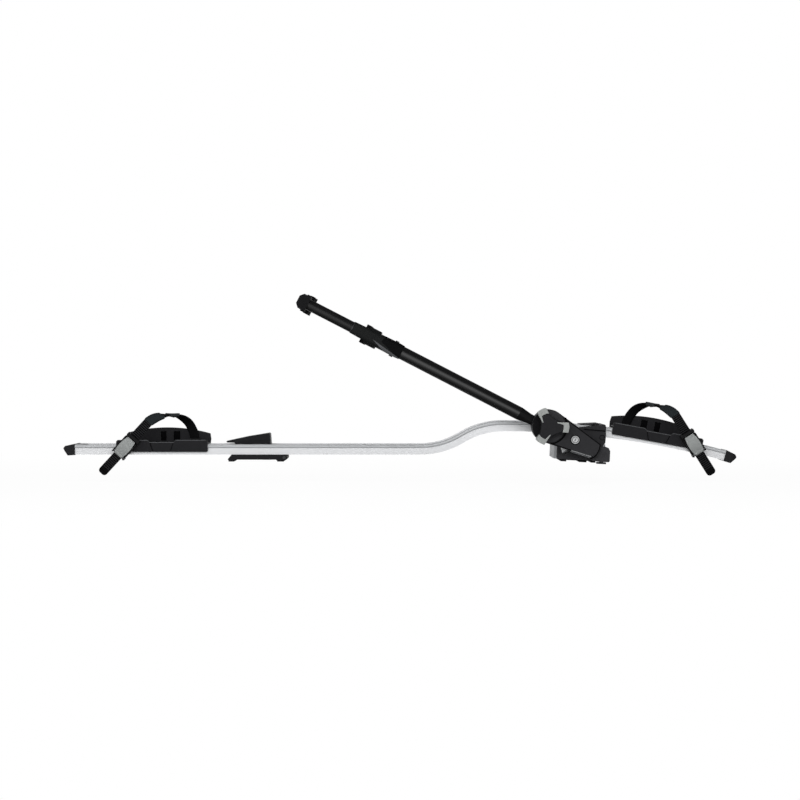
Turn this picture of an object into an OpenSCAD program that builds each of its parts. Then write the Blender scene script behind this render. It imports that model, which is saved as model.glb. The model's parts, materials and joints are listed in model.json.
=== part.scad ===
// Roof mounted bike carrier: a bent rail with two wheel holders, a rear foot, a base and a frame arm.
// Origin: middle of the base's sole. +X runs along the rail to the front, +Y away from the knob, +Z up.

/* [Rail] */
// Width across the beads
rail_w = 66; // [60:1:76]
// Width of the channel below the beads
rail_body_w = 62; // [54:1:64]
// Height of the channel
rail_h = 21.8; // [19:0.1:25]
// Thickness of the side walls
rail_wall = 2.4; // [1.6:0.1:3.5]
// Thickness of the web
rail_web = 2.5; // [1.8:0.1:3.5]
// Height of the bead along each upper edge
bead_h = 8.6; // [5:0.1:11]
// Height of the web's underside above the sole, along the rear stretch
rail_z = 14.9; // [13:0.1:20]
// Length of the straight rear stretch
rear_len = 739; // [700:1:900]
// Distance of the S-bend's start behind the origin
bend_back = 344; // [320:1:380]
// Radius of both arcs of the S-bend
bend_r = 170; // [140:1:200]
// Rise of the S-bend
bend_rise = 50; // [46:0.5:54]
// Radius of the front arc along the underside
front_r = 1808; // [1600:1:2400]
// Angle that the front arc turns through
front_deg = 15.1; // [14.8:0.1:17]

/* [End caps] */
// Length of a cap's nose
cap_len = 26.5; // [18:0.5:34]
// Overlap of a cap over the rail's outline
cap_over = 1; // [0.5:0.1:2]
// Length of the plug inside the channel
cap_plug = 18; // [10:1:30]

/* [Wheel holders] */
// Length of a holder
holder_len = 194; // [184:1:210]
// Thickness of the holder's walls
holder_wall = 4.5; // [3:0.1:6]
// Thickness of the holder's floor
holder_floor = 2.4; // [1.8:0.1:3]
// Height of the skirt's lower edge above the rail's underside
skirt_z = 5.8; // [3:0.1:7]
// Height of the near wall above the rail's underside
near_h = 31.2; // [29:0.1:36]
// Drop of the near wall's middle panel
near_drop = 4.6; // [2:0.1:6]
// Height of the far wall's arch above the rail's underside
far_h = 56; // [50:0.5:66]
// Radius of the far wall's arch
arch_r = 343; // [250:1:600]
// Distance from the rail's rear end to the rear holder
rear_holder_in = 186; // [160:1:205]
// Place of the front holder on the front arc
front_holder_deg = 10.4; // [10.3:0.1:10.8]
// Length of the tyre pad
tyre_pad_len = 140; // [100:1:170]

/* [Straps and buckles] */
// Width of a strap
strap_w = 20; // [16:0.5:24]
// Thickness of a strap
strap_t = 3; // [2:0.1:3.4]
// Slope of the toothed strap
strap_deg = 47.3; // [44:0.1:52]
// Length of the toothed strap with its tail
ladder_len = 149; // [135:1:180]
// Pitch of the teeth
tooth_pitch = 4.2; // [3:0.1:6]
// Height of the teeth
tooth_h = 1.3; // [0.6:0.1:1.6]
// Distance from the sleeve to the buckle's middle
buckle_at = 74; // [66:1:84]
// Length of the buckle's lever
blever_len = 45; // [40:0.5:52]
// Width of the lever's middle
blever_w = 26; // [23:0.5:30]
// Width of the lever's ends
blever_end_w = 19.5; // [17:0.5:22.5]
// Radius of the lever's hinge pin
buckle_pin_r = 2; // [1.5:0.1:2.5]

/* [Rear foot] */
// Distance from the rear holder to the rear bolt
foot_gap = 223; // [205:1:240]
// Width of the foot across the rail
foot_w = 72; // [60:1:90]
// How far the foot slides back
foot_back = 30; // [0:1:40]
// How far the foot slides forward
foot_fwd = 60; // [0:1:90]
// Radius of both T-bolts
bolt_r = 4; // [3:0.1:4.5]
// Side of the square T-heads
head_w = 20; // [16:0.5:24]
// Thickness of the T-heads
head_t = 3.5; // [2.5:0.1:4]
// Width of the cam lever
cam_w = 44; // [36:1:50]
// Radius of the cam
cam_r = 10; // [9:0.1:10.4]
// Throw of the cam's centre
cam_throw = 2.6; // [1:0.1:2.9]
// Radius of the cam lever's cross pin
cam_pin_r = 4; // [3:0.1:4.5]

/* [Base] */
// Tilt of the base to the front
base_tilt = 2.7; // [1.5:0.1:3.5]
// Width of the base across the rail
base_w = 150; // [140:1:170]
// Height of the bracket's slab above the sole
slab_top = 32; // [30:0.5:33]
// Thickness of the bracket's walls
slab_wall = 5; // [4:0.1:7]
// Width of the pedestal under the rail
pedestal_w = 56; // [40:1:62]
// Thickness of the near cover
cover_t = 12; // [8:0.5:14]
// Place of the front T-bolt
front_bolt_x = 45.6; // [43:0.1:46]
// Thickness of the rubber sole
sole_t = 5; // [4.4:0.1:5.6]
// Height of the sole's ribs
sole_rib = 3; // [2:0.1:3.4]
// Thickness of the saddle's cheeks
cheek_t = 16; // [12:0.5:18]

/* [Arm] */
// Slope of the arm as it stands
arm_deg = 27.3; // [15:0.1:60]
// Place of the pivot along the rail
pivot_x = -5; // [-8:0.5:-2]
// Height of the pivot
pivot_z = 41.2; // [40.6:0.1:42]
// Radius of the pivot shaft
shaft_r = 8; // [7:0.1:8.4]
// Radius of the shaft's bore
shaft_bore_r = 4; // [3:0.1:4.5]
// Outer radius of the pivot bushes
bush_r = 11; // [10:0.1:12]
// Radius of the cap on the shaft's far end
hub_r = 16; // [13:0.5:20]
// Drop of the arm's axis below the pivot
arm_drop = 4.4; // [3.5:0.1:5]
// Distance from the pivot to the tube's lower end
tube_from = 147; // [142:1:160]
// Height of the oval tube
tube_h = 28; // [27:0.1:30]
// Depth of the oval tube
tube_d = 36; // [34:0.5:38]
// Wall of both tubes
tube_wall = 2; // [1.6:0.1:2.4]
// Running gap between the two tubes
tube_gap = 0.3; // [0.2:0.05:0.5]
// Distance from the pivot to the end of the arm
arm_len = 669; // [640:1:720]

/* [Jaws] */
// Gap between the tips of the open jaws
jaw_open = 123; // [112:1:130]
// Depth of the upper jaw behind its tips
jaw_root = 30; // [28:0.5:40]
// Length of the lower jaw's sleeve
sleeve_len = 116; // [104:1:120]
// Wall of the lower jaw's sleeve
sleeve_t = 1.8; // [1.4:0.1:3]
// Travel of the upper jaw
jaw_travel = 100; // [60:1:100]
// Radius of the jaws' hollow
grip_r = 300; // [160:1:500]
// Thickness of the jaw pads
pad_t = 9; // [6:0.1:10]
// Width of the jaw pads
pad_w = 42; // [38:0.5:48]
// Reach of the jaws past the rail's middle
jaw_reach = 28; // [15:1:40]

/* [Housing and knob] */
// Distance from the pivot to the knob
knob_dist = 81; // [76:0.5:90]
// Radius of the housing's large end
house_r = 35; // [32:0.5:40]
// Half-width of the housing at the pivot
house_small = 22; // [20:0.5:26]
// Radius of the housing's round end about the pivot
house_end_r = 37; // [34:0.5:38.5]
// Depth of the housing's cover
house_depth = 42; // [38:0.5:46]
// Wall of the housing's cover
house_wall = 3; // [2:0.1:3.6]
// Thickness of the housing's back plate
plate_t = 6; // [4:0.1:7]
// Radius of the knob over its lobes
knob_r = 38.5; // [36:0.5:44]
// Height of the knob
knob_h = 33.5; // [30:0.5:40]
// Radius of the knob's waist between the lobes
knob_waist = 19; // [15:0.5:22]
// Radius of the cable drum
drum_r = 8; // [6:0.1:10]
// Distance from the pivot to the lock
lock_dist = 19; // [18:0.5:22]
// Radius of the lock's ring
lock_r = 8.5; // [7.5:0.1:9.5]
// Radius of the pull cable
cable_r = 1.5; // [1:0.1:1.8]

/* [Hidden] */
$fn = 64;
ALU = [0.78, 0.79, 0.80];
STEEL = [0.62, 0.63, 0.65];
SILVER = [0.62, 0.64, 0.63];
BLACK = [0.14, 0.14, 0.15];
RUBBER = [0.08, 0.08, 0.09];
SLEEVE = [0.17, 0.19, 0.20];
// Gap between pieces that slide on each other, and gap of a running fit
fit = 0.3;
run = 0.05;

// Rail
bend_deg = acos(1 - bend_rise / (2 * bend_r));
bend_x0 = -bend_back;
bend_x1 = bend_x0 + 2 * bend_r * sin(bend_deg);
rail_x0 = bend_x0 - rear_len;
rear_holder_x = rail_x0 + rear_holder_in;
foot_x = rear_holder_x + foot_gap;
front_c = [bend_x1, 0, rail_z + bend_rise - front_r];
channel_w = rail_body_w - 2 * rail_wall;
bead_round = 3.6;
bead_hang = (rail_w - rail_body_w) / 2;
function front_z(x, r) = front_c[2] + sqrt(r * r - pow(x - front_c[0], 2));
rail_screw_xs = [-38, 26];
rail_screw_r = 3;
rail_screw_len = 18;

// Holders, in a frame on the rail's underside at the middle of the holder
hold_in = rail_w / 2 + 0.4;
hold_out = hold_in + holder_wall;
floor_top = rail_h + fit + holder_floor;
hook_len = 50;
panel_x = 30;
panel_slope = 4;
strap_steps = 3;
buckle_base_t = 3.6;
ladder_y = -(hold_out + buckle_base_t + fit + strap_t / 2);
ladder_at = [-27, ladder_y, 70];
// Hand-chosen points of the strap's middle line, from its root inside the far wall to the sleeve's end
strap_pts = [
    [64, hold_in - 0.3 - strap_t / 2, floor_top + 0.2],
    [62, hold_in - 0.3 - strap_t / 2, 42],
    [57, 30.5, 55],
    [50, 27.5, 67],
    [40, 21, 76],
    [27, 10.5, 82.5],
    [10, -3, 84],
    [-7, -18, 81.5],
    [-18.5, -31, 76.3],
    ladder_at
];
// Direction in which the strap faces at each point, from far side over the top to the near side
strap_turns = [0, 2, 10, 30, 52, 78, 95, 128, 158, 180];
strap_last = len(strap_pts) - 1;
strap_rings = strap_last * strap_steps;
clip_from = 5 * strap_steps;
clip_to = clip_from + 3;
sleeve_from = clip_to + 2;

// Buckle, in the toothed strap's frame
tooth_y = ladder_y - strap_t / 2 - tooth_h;
blever_y = tooth_y - 3.2;
blever_t = 6.5;
bpin_y = blever_y - 2.2;
bpin_x = buckle_at + blever_len / 2 - 4.5;
frame_in = blever_w / 2 + 0.4;
frame_out = frame_in + 2.2;
frame_top = blever_y - 4.5;

// Rear foot
web_top = rail_z + rail_web;
seat_t = 2;
seat_top = web_top + fit + seat_t;
cam_swing = 70;
cam_lead = 90 - cam_swing / 2;
cam_pin_z = seat_top + 0.25 + cam_r + cam_throw * cos(cam_lead);
cam_drop = 2 * cam_throw * cos(cam_lead);
foot_top = rail_z - fit;
foot_bottom = 4.1;
foot_left = -74;
foot_right = 45;
head_z = 2.6;
eye_w = 10;
eye_r = cam_pin_r + 3.5;

// Base
base_half = base_w / 2;
slab_x0 = -61.5;
slab_x1 = 56;
slab_y0 = -base_half + cover_t;
slab_y1 = base_half - 2;
cover_end = 51.5;
block_depth = 37;
saddle_y0 = rail_w / 2 + 3;
flange_t = 2.7;
boss_r = bush_r + 4;
sole_x0 = -47;
sole_x1 = 27;
nut_r = 7.5;
nut_t = 6;
pedestal_x0 = -50;
pedestal_x1 = 36;
pedestal_cuts = 6;

// Arm, in a frame whose -X runs up the arm and whose +Y points to the knob's side
plate_y1 = -(base_half + flange_t + fit);
plate_y0 = plate_y1 - plate_t;
tube_half = tube_d / 2;
inner_h = tube_h - 2 * tube_wall - 2 * tube_gap;
inner_d = tube_d - 2 * tube_wall - 2 * tube_gap;
hub_y0 = base_half + flange_t + fit;
hub_y1 = hub_y0 + 12;
shaft_y0 = plate_y0 - 10;
shaft_y1 = hub_y0 + 9;
neck_h = tube_h - 6.6;
neck_d = tube_d - 8;
neck_from = knob_dist + drum_r + 6;
arm_y = neck_d / 2 - plate_y0;
cable_z = arm_drop - drum_r;
spigot = 56;
high_tip = arm_len - jaw_root;
low_tip = high_tip - jaw_open;
collar_at = low_tip + 24.5;
sleeve_from_a = collar_at - sleeve_len;
tube_to = low_tip - 48;
inner_from = low_tip - 146;
inner_to = high_tip + 19;
grip_y = 22;
jaw_y = arm_y - tube_half;
ferrule_r = 3.5;
plug_len = 20;
low_c = low_tip + sqrt(grip_r * grip_r - pow(jaw_reach + grip_y, 2));
high_c = high_tip - sqrt(grip_r * grip_r - pow(jaw_reach + grip_y, 2));

// Housing
house_y0 = plate_y0 - house_depth;
house_in = house_y0 + house_wall;
house_lean = asin((house_r - house_small) / knob_dist);
disc_t = 6.4;
knob_y1 = house_y0 - 0.4;
knob_y0 = knob_y1 - knob_h;
grip_ledge = knob_y1 - disc_t - 7;
knob_shaft_r = 6;
lobe_cut = 60;
grip_in = 28;
grip_half = 10.2;
grip_phase = 24.3;
grip_angles = [grip_phase, grip_phase + 120, grip_phase - 120];
plug_r = lock_r - 2.3;

// Frames and shared shapes

// Extrude a side view, drawn in x and z, from y0 to y1
module side(y0, y1) {
    translate([0, y1, 0])
        rotate([90, 0, 0])
            linear_extrude(y1 - y0)
                children();
}

// Cylinder along Y from y0 to y1
module ycyl(r, y0, y1) {
    translate([0, y0, 0])
        rotate([-90, 0, 0])
            cylinder(r = r, h = y1 - y0);
}

// Extrude a section, drawn in y and z, along the arm between two distances from the pivot
module arm_run(a0, a1) {
    translate([-a1, 0, 0])
        rotate([90, 0, 90])
            linear_extrude(a1 - a0)
                children();
}

// Rectangle with round corners about its middle
module rrect(w, h, r) {
    square([w - 2 * r, h], center = true);
    square([w, h - 2 * r], center = true);
    for (x = [-1, 1])
        for (y = [-1, 1])
            translate([x * (w / 2 - r), y * (h / 2 - r)])
                circle(r);
}

// Oval with round ends
module stadium(w, h) {
    square([w - h, h], center = true);
    for (x = [-1, 1])
        translate([x * (w - h) / 2, 0])
            circle(h / 2);
}

module on_front(deg) {
    translate(front_c)
        rotate([0, deg, 0])
            translate([0, 0, front_r])
                children();
}

module at_rear_holder() {
    translate([rear_holder_x, 0, rail_z])
        children();
}

module at_front_holder() {
    on_front(front_holder_deg)
        mirror([1, 0, 0])
            children();
}

// Frame of the toothed strap: x down the strap, y as in the holder, z across the strap
module at_ladder() {
    translate(ladder_at)
        translate([0, -ladder_y, 0])
            rotate([0, 180 - strap_deg, 0])
                children();
}

module at_foot() {
    translate([foot_x, 0, 0])
        children();
}

module in_base() {
    rotate([0, base_tilt, 0])
        children();
}

module at_pivot() {
    translate([pivot_x, 0, pivot_z])
        rotate([0, arm_deg, 0])
            children();
}

// Frame of the arm, mirrored to the knob's side
module at_arm() {
    at_pivot()
        translate([0, 0, -arm_drop])
            mirror([0, 1, 0])
                children();
}

module at_knob() {
    at_pivot()
        translate([-knob_dist, 0, 0])
            children();
}

// Rail and its end caps

module rail_section(grow = 0) {
    difference() {
        union() {
            translate([-rail_body_w / 2 - grow, -grow])
                square([rail_body_w + 2 * grow, rail_h - bead_h / 2]);
            translate([0, rail_h - bead_h / 2])
                rrect(rail_w + 2 * grow, bead_h + 2 * grow, bead_round);
        }
        translate([-channel_w / 2 + grow, rail_web + grow])
            square([channel_w - 2 * grow, rail_h]);
    }
}

// Arc of the rail that hollows upward, from its level start
module arc_up(r, deg) {
    rotate([90, 0, 0])
        rotate([0, 0, -90])
            rotate_extrude(angle = deg, $fn = 180)
                translate([r, 0])
                    rotate(90)
                        children();
}

// Arc of the rail that hollows downward, from its level start
module arc_down(r, deg) {
    rotate([-90, 0, 0])
        rotate([0, 0, -90])
            rotate_extrude(angle = deg, $fn = 360)
                translate([r, 0])
                    mirror([1, -1])
                        children();
}

module rail_screw_at(x) {
    on_front(asin((x - front_c[0]) / front_r))
        children();
}

module rail() {
    up_r = bend_r + rail_h / 2;
    down_r = bend_r - rail_h / 2;
    turn_x = bend_x0 + up_r * sin(bend_deg);
    turn_z = rail_z + up_r * (1 - cos(bend_deg));
    short = 0.2;
    color(ALU)
        difference() {
            union() {
                translate([rail_x0, 0, rail_z])
                    rotate([90, 0, 90])
                        linear_extrude(rear_len)
                            rail_section();
                translate([bend_x0, 0, rail_z + up_r])
                    arc_up(up_r, bend_deg - short)
                        rail_section();
                // Short straight stretch between the two arcs
                translate([turn_x, 0, turn_z])
                    rotate([0, -bend_deg, 0])
                        rotate([90, 0, 90])
                            linear_extrude(3, center = true)
                                rail_section(0.03);
                translate([bend_x1, 0, rail_z + bend_rise - down_r])
                    mirror([1, 0, 0])
                        arc_down(down_r, bend_deg - short)
                            rail_section();
                translate(front_c)
                    arc_down(front_r, front_deg)
                        rail_section();
            }
            // Slot for the rear bolt
            translate([foot_x - foot_back, 0, rail_z - 1])
                cylinder(r = bolt_r + 0.5, h = rail_web + 2);
            translate([foot_x + foot_fwd, 0, rail_z - 1])
                cylinder(r = bolt_r + 0.5, h = rail_web + 2);
            translate([foot_x - foot_back, -bolt_r - 0.5, rail_z - 1])
                cube([foot_back + foot_fwd, 2 * bolt_r + 1, rail_web + 2]);
            for (x = rail_screw_xs)
                rail_screw_at(x)
                    translate([0, 0, -1])
                        cylinder(r = rail_screw_r, h = rail_web + 2);
        }
}

module rail_screws() {
    color(STEEL)
        for (x = rail_screw_xs)
            rail_screw_at(x) {
                translate([0, 0, -rail_screw_len])
                    cylinder(r = rail_screw_r, h = rail_screw_len + rail_web);
                translate([0, 0, rail_web])
                    cylinder(r = rail_screw_r * 2, h = rail_screw_r);
            }
}

// Cap of the rail with its nose along +X
module end_cap() {
    nose_top = rail_h * 0.6;
    round_r = 14;
    width = rail_w + 2 * cap_over;
    intersection() {
        side(-width, width)
            polygon([
                [0, -cap_over],
                [cap_len * 0.57, -cap_over - 1],
                [cap_len, nose_top],
                [cap_len * 0.8, rail_h - 3.4],
                [0, rail_h + cap_over]
            ]);
        translate([0, 0, -rail_h])
            linear_extrude(3 * rail_h)
                union() {
                    translate([-1, -width / 2])
                        square([cap_len - round_r + 1, width]);
                    translate([0, -width / 2 + round_r])
                        square([cap_len, width - 2 * round_r]);
                    for (y = [-1, 1])
                        translate([cap_len - round_r, y * (width / 2 - round_r)])
                            circle(round_r);
                }
    }
    difference() {
        translate([-cap_plug, -channel_w / 2 + 0.2, rail_web + 0.2])
            cube([cap_plug, channel_w - 0.4, rail_h - rail_web - 1.4]);
        translate([-cap_plug - 1, -channel_w / 2 + 3.2, rail_web + 3.2])
            cube([cap_plug - 2, channel_w - 6.4, rail_h]);
    }
}

module rear_cap() {
    color(BLACK)
        translate([rail_x0, 0, rail_z])
            mirror([1, 0, 0])
                end_cap();
}

module front_cap() {
    color(BLACK)
        on_front(front_deg)
            end_cap();
}

// Wheel holders, drawn for the rear one and mirrored for the front one

module near_outline() {
    half = holder_len / 2;
    low = near_h - near_drop;
    root_end = half + 1.5;
    polygon([
        [-half, skirt_z],
        [root_end - 2, skirt_z],
        [root_end, skirt_z + 2],
        [root_end, near_h - 2],
        [root_end - 3, near_h],
        [panel_x, near_h],
        [panel_x - panel_slope, low],
        [-panel_x + panel_slope, low],
        [-panel_x, near_h],
        [-half + 3, near_h],
        [-half, near_h - 3]
    ]);
}

module far_outline() {
    half = holder_len / 2;
    intersection() {
        polygon([
            [-half + 20, skirt_z],
            [half - 1, skirt_z],
            [half + 2, near_h],
            [half - 2, far_h + 2],
            [-half + 24, far_h + 2],
            [-half + 17, near_h]
        ]);
        translate([4, far_h - arch_r])
            circle(arch_r, $fn = 360);
    }
}

module holder_form() {
    half = holder_len / 2;
    relief = 1.3;
    difference() {
        union() {
            side(-hold_out, -hold_in)
                near_outline();
            side(hold_in, hold_out)
                far_outline();
            translate([-half + 1, -hold_in - 1, rail_h + fit])
                cube([holder_len - 2, 2 * hold_in + 2, holder_floor]);
            // Hooks under the rail's beads
            for (s = [-1, 1])
                translate([-hook_len / 2, s > 0 ? rail_body_w / 2 + 0.5 : -hold_in - 1, skirt_z + 0.5])
                    cube([hook_len, hold_in + 0.5 - rail_body_w / 2, rail_h - bead_h - skirt_z - 1.5]);
            // Rim along the arched wall and two stiffening ribs inside it
            for (x = [-half + 28, half - 8])
                translate([x, hold_in - 5, floor_top - 0.5])
                    cube([3, 5.5, near_h - floor_top]);
        }
        // Sunk middle panel with slanted ends
        side(-hold_out - 1, -hold_out + relief)
            polygon([
                [-panel_x + panel_slope / 2, near_h],
                [panel_x - panel_slope / 2, near_h],
                [panel_x - 10, skirt_z + 1.5],
                [-panel_x + 10, skirt_z + 1.5]
            ]);
        // Two upright flutes inside the arched wall
        for (x = [[-11, 13], [17, 15]])
            translate([x[0], hold_in - 1, near_h - near_drop])
                cube([x[1], 1 + relief * 1.5, far_h - near_h - 3]);
        // Hole of the buckle's screw
        at_ladder()
            translate([buckle_at, 0, 0])
                ycyl(2.5, -hold_out - 1, -hold_in + 1);
    }
}

module tyre_pad_form() {
    ribs = 9;
    step = (tyre_pad_len - 8) / (ribs - 1);
    translate([-tyre_pad_len / 2, -hold_in + 7, floor_top])
        cube([tyre_pad_len, 2 * hold_in - 14, 1]);
    for (i = [0:ribs - 1])
        translate([-tyre_pad_len / 2 + 2 + i * step, -hold_in + 9, floor_top + 0.5])
            cube([4, 2 * hold_in - 18, 1.3]);
}

// Smooth curve through four points
function curve(p, t) =
    0.5 * (2 * p[1] + (p[2] - p[0]) * t + (2 * p[0] - 5 * p[1] + 4 * p[2] - p[3]) * t * t
    + (3 * p[1] - p[0] - 3 * p[2] + p[3]) * t * t * t);
function pick(list, i) = list[max(0, min(len(list) - 1, i))];
function curve_at(list, i) =
    let (k = min(floor(i / strap_steps), len(list) - 2), t = i / strap_steps - k)
    curve([pick(list, k - 1), list[k], list[k + 1], pick(list, k + 2)], t);
function unit(v) = v / norm(v);
ladder_dir = [-cos(strap_deg), 0, -sin(strap_deg)];
function strap_dir(i) =
    i == 0 ? [0, 0, 1]
    : i == strap_rings ? ladder_dir
    : unit(curve_at(strap_pts, i + 0.1) - curve_at(strap_pts, i - 0.1));
function strap_face(i) =
    let (turn = curve_at(strap_turns, i), t = strap_dir(i), n = [0, cos(turn), sin(turn)])
    unit(n - (n * t) * t);
function strap_ring(i, w, t) =
    let (p = curve_at(strap_pts, i), n = strap_face(i), b = cross(strap_dir(i), n))
    [for (c = [[1, 1], [-1, 1], [-1, -1], [1, -1]]) p + b * c[0] * w / 2 + n * c[1] * t / 2];

// Flat band along the strap's middle line between two rings
module band(from, to, w, t) {
    count = to - from;
    points = [for (i = [from:to]) each strap_ring(i, w, t)];
    sides = [
        for (i = [0:count - 1])
            for (k = [0:3])
                let (a = 4 * i + k, b = 4 * i + (k + 1) % 4)
                each [[a, b, b + 4], [a, b + 4, a + 4]]
    ];
    last = 4 * count;
    ends = [[0, 2, 1], [0, 3, 2], [last, last + 1, last + 2], [last, last + 2, last + 3]];
    polyhedron(points = points, faces = concat(sides, ends), convexity = 6);
}

module strap_form() {
    band(0, clip_from, strap_w, strap_t);
    band(clip_to, sleeve_from, strap_w, strap_t);
}

module clip_form() {
    band(clip_from, clip_to, strap_w + 4, strap_t + 4);
}

module sleeve_form() {
    band(sleeve_from, strap_rings, strap_w + 2, strap_t + 3.4);
}

// Toothed strap with a rounded tail
module ladder_form() {
    teeth = floor((ladder_len - 14) / tooth_pitch);
    front = ladder_y - strap_t / 2;
    back = ladder_y + strap_t / 2;
    tail_r = strap_w * 0.35;
    at_ladder()
        intersection() {
            linear_extrude(strap_w, center = true)
                polygon(concat(
                    [[0, back], [ladder_len, back], [ladder_len, front]],
                    [[ladder_len - 7, front], [ladder_len - 8, front - tooth_h], [ladder_len - 9, front]],
                    [
                        for (i = [teeth - 1:-1:0])
                            each [
                                [(i + 0.9) * tooth_pitch, front],
                                [(i + 0.7) * tooth_pitch, front - tooth_h],
                                [(i + 0.3) * tooth_pitch, front - tooth_h],
                                [(i + 0.1) * tooth_pitch, front]
                            ]
                    ],
                    [[0, front]]
                ));
            side(tooth_y - 1, back + 1)
                union() {
                    translate([-1, -strap_w / 2])
                        square([ladder_len + 1 - tail_r, strap_w]);
                    translate([0, -strap_w / 2 + tail_r])
                        square([ladder_len, strap_w - 2 * tail_r]);
                    for (z = [-1, 1])
                        translate([ladder_len - tail_r, z * (strap_w / 2 - tail_r)])
                            circle(tail_r);
                }
        }
}

// Plate and two rivets that hold the strap's root to the far wall
module anchor_form() {
    y1 = hold_in - 0.3 - strap_t;
    translate([strap_pts[0][0] - 13, y1 - 2, floor_top])
        cube([24, 2, 8]);
    for (x = [-8, 6])
        translate([strap_pts[0][0] + x, 0, floor_top + 4])
            ycyl(2, y1 - 3.2, y1 - 2);
}

module buckle_frame_form() {
    back = -hold_out;
    x0 = buckle_at - blever_len / 2;
    x1 = bpin_x + 4.5;
    at_ladder()
        difference() {
            union() {
                translate([x0 - 9, back - buckle_base_t, -frame_out])
                    cube([x1 - x0 + 9, buckle_base_t, 2 * frame_out]);
                for (z = [-frame_out, frame_in])
                    side(frame_top, back)
                        translate([x0 + 2, z])
                            square([x1 - x0 - 2, frame_out - frame_in]);
                // Guide that the strap runs under
                translate([x0 - 8, frame_top, -frame_out])
                    cube([6, tooth_y - fit - frame_top, 2 * frame_out]);
                for (z = [-frame_out, strap_w / 2 + 0.6])
                    translate([x0 - 8, frame_top, z])
                        cube([6, -frame_top + back, frame_out - strap_w / 2 - 0.6]);
                // Release tab
                translate([buckle_at - 4, tooth_y - 2, -frame_out - 3])
                    cube([6, 5, 3.5]);
            }
            translate([bpin_x, bpin_y, 0])
                cylinder(r = buckle_pin_r, h = 4 * frame_out, center = true);
            translate([buckle_at, 0, 0])
                ycyl(2.5, back - buckle_base_t - 1, back + 1);
            translate([buckle_at, 0, 0])
                ycyl(4.5, back - buckle_base_t - 1, back - buckle_base_t + 2);
        }
}

module buckle_screw_form() {
    at_ladder()
        translate([buckle_at, 0, 0]) {
            ycyl(2.5, -hold_out - buckle_base_t + 2, -hold_in);
            ycyl(4.5, -hold_out - buckle_base_t + 0.2, -hold_out - buckle_base_t + 2);
        }
}

module buckle_pin_form() {
    at_ladder()
        translate([bpin_x, bpin_y, 0]) {
            translate([0, 0, -frame_out])
                cylinder(r = buckle_pin_r, h = 2 * frame_out);
            translate([0, 0, frame_out])
                cylinder(r = buckle_pin_r + 1, h = 2);
        }
}

// Barrel-shaped lever with a crowned face, hinged at its lower end
module buckle_lever_form() {
    x0 = buckle_at - blever_len / 2;
    length = bpin_x - x0;
    sag = (blever_w - blever_end_w) / 2;
    swell_r = (blever_len * blever_len / 4 + sag * sag) / (2 * sag);
    crown_r = 80;
    at_ladder()
        difference() {
            union() {
                intersection() {
                    side(blever_y - blever_t, blever_y)
                        intersection() {
                            translate([x0, -blever_w])
                                square([length, 2 * blever_w]);
                            translate([buckle_at, blever_w / 2 - swell_r])
                                circle(swell_r, $fn = 180);
                            translate([buckle_at, swell_r - blever_w / 2])
                                circle(swell_r, $fn = 180);
                        }
                    translate([buckle_at, blever_y - blever_t + crown_r, 0])
                        cylinder(r = crown_r, h = 2 * blever_w, center = true, $fn = 180);
                }
                translate([bpin_x, bpin_y, 0])
                    cylinder(r = buckle_pin_r + 2, h = blever_end_w, center = true);
            }
            translate([bpin_x, bpin_y, 0])
                cylinder(r = buckle_pin_r + run, h = 2 * blever_w, center = true);
            // Hollow underside
            translate([x0 + 3, blever_y - 3, -blever_end_w / 2 + 2.5])
                cube([length - 10, 6, blever_end_w - 5]);
        }
}

module rear_holder() { color(BLACK) at_rear_holder() holder_form(); }
module rear_tyre_pad() { color(RUBBER) at_rear_holder() tyre_pad_form(); }
module rear_strap() { color(RUBBER) at_rear_holder() strap_form(); }
module rear_clip() { color(BLACK) at_rear_holder() clip_form(); }
module rear_sleeve() { color(SLEEVE) at_rear_holder() sleeve_form(); }
module rear_ladder() { color(RUBBER) at_rear_holder() ladder_form(); }
module rear_anchor() { color(BLACK) at_rear_holder() anchor_form(); }
module rear_buckle_frame() { color(BLACK) at_rear_holder() buckle_frame_form(); }
module rear_buckle_screw() { color(STEEL) at_rear_holder() buckle_screw_form(); }
module rear_buckle_pin() { color(STEEL) at_rear_holder() buckle_pin_form(); }
module rear_buckle_lever() { color(SILVER) at_rear_holder() buckle_lever_form(); }
module front_holder() { color(BLACK) at_front_holder() holder_form(); }
module front_tyre_pad() { color(RUBBER) at_front_holder() tyre_pad_form(); }
module front_strap() { color(RUBBER) at_front_holder() strap_form(); }
module front_clip() { color(BLACK) at_front_holder() clip_form(); }
module front_sleeve() { color(SLEEVE) at_front_holder() sleeve_form(); }
module front_ladder() { color(RUBBER) at_front_holder() ladder_form(); }
module front_anchor() { color(BLACK) at_front_holder() anchor_form(); }
module front_buckle_frame() { color(BLACK) at_front_holder() buckle_frame_form(); }
module front_buckle_screw() { color(STEEL) at_front_holder() buckle_screw_form(); }
module front_buckle_pin() { color(STEEL) at_front_holder() buckle_pin_form(); }
module front_buckle_lever() { color(SILVER) at_front_holder() buckle_lever_form(); }

// Rear foot with its cam lever

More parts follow.
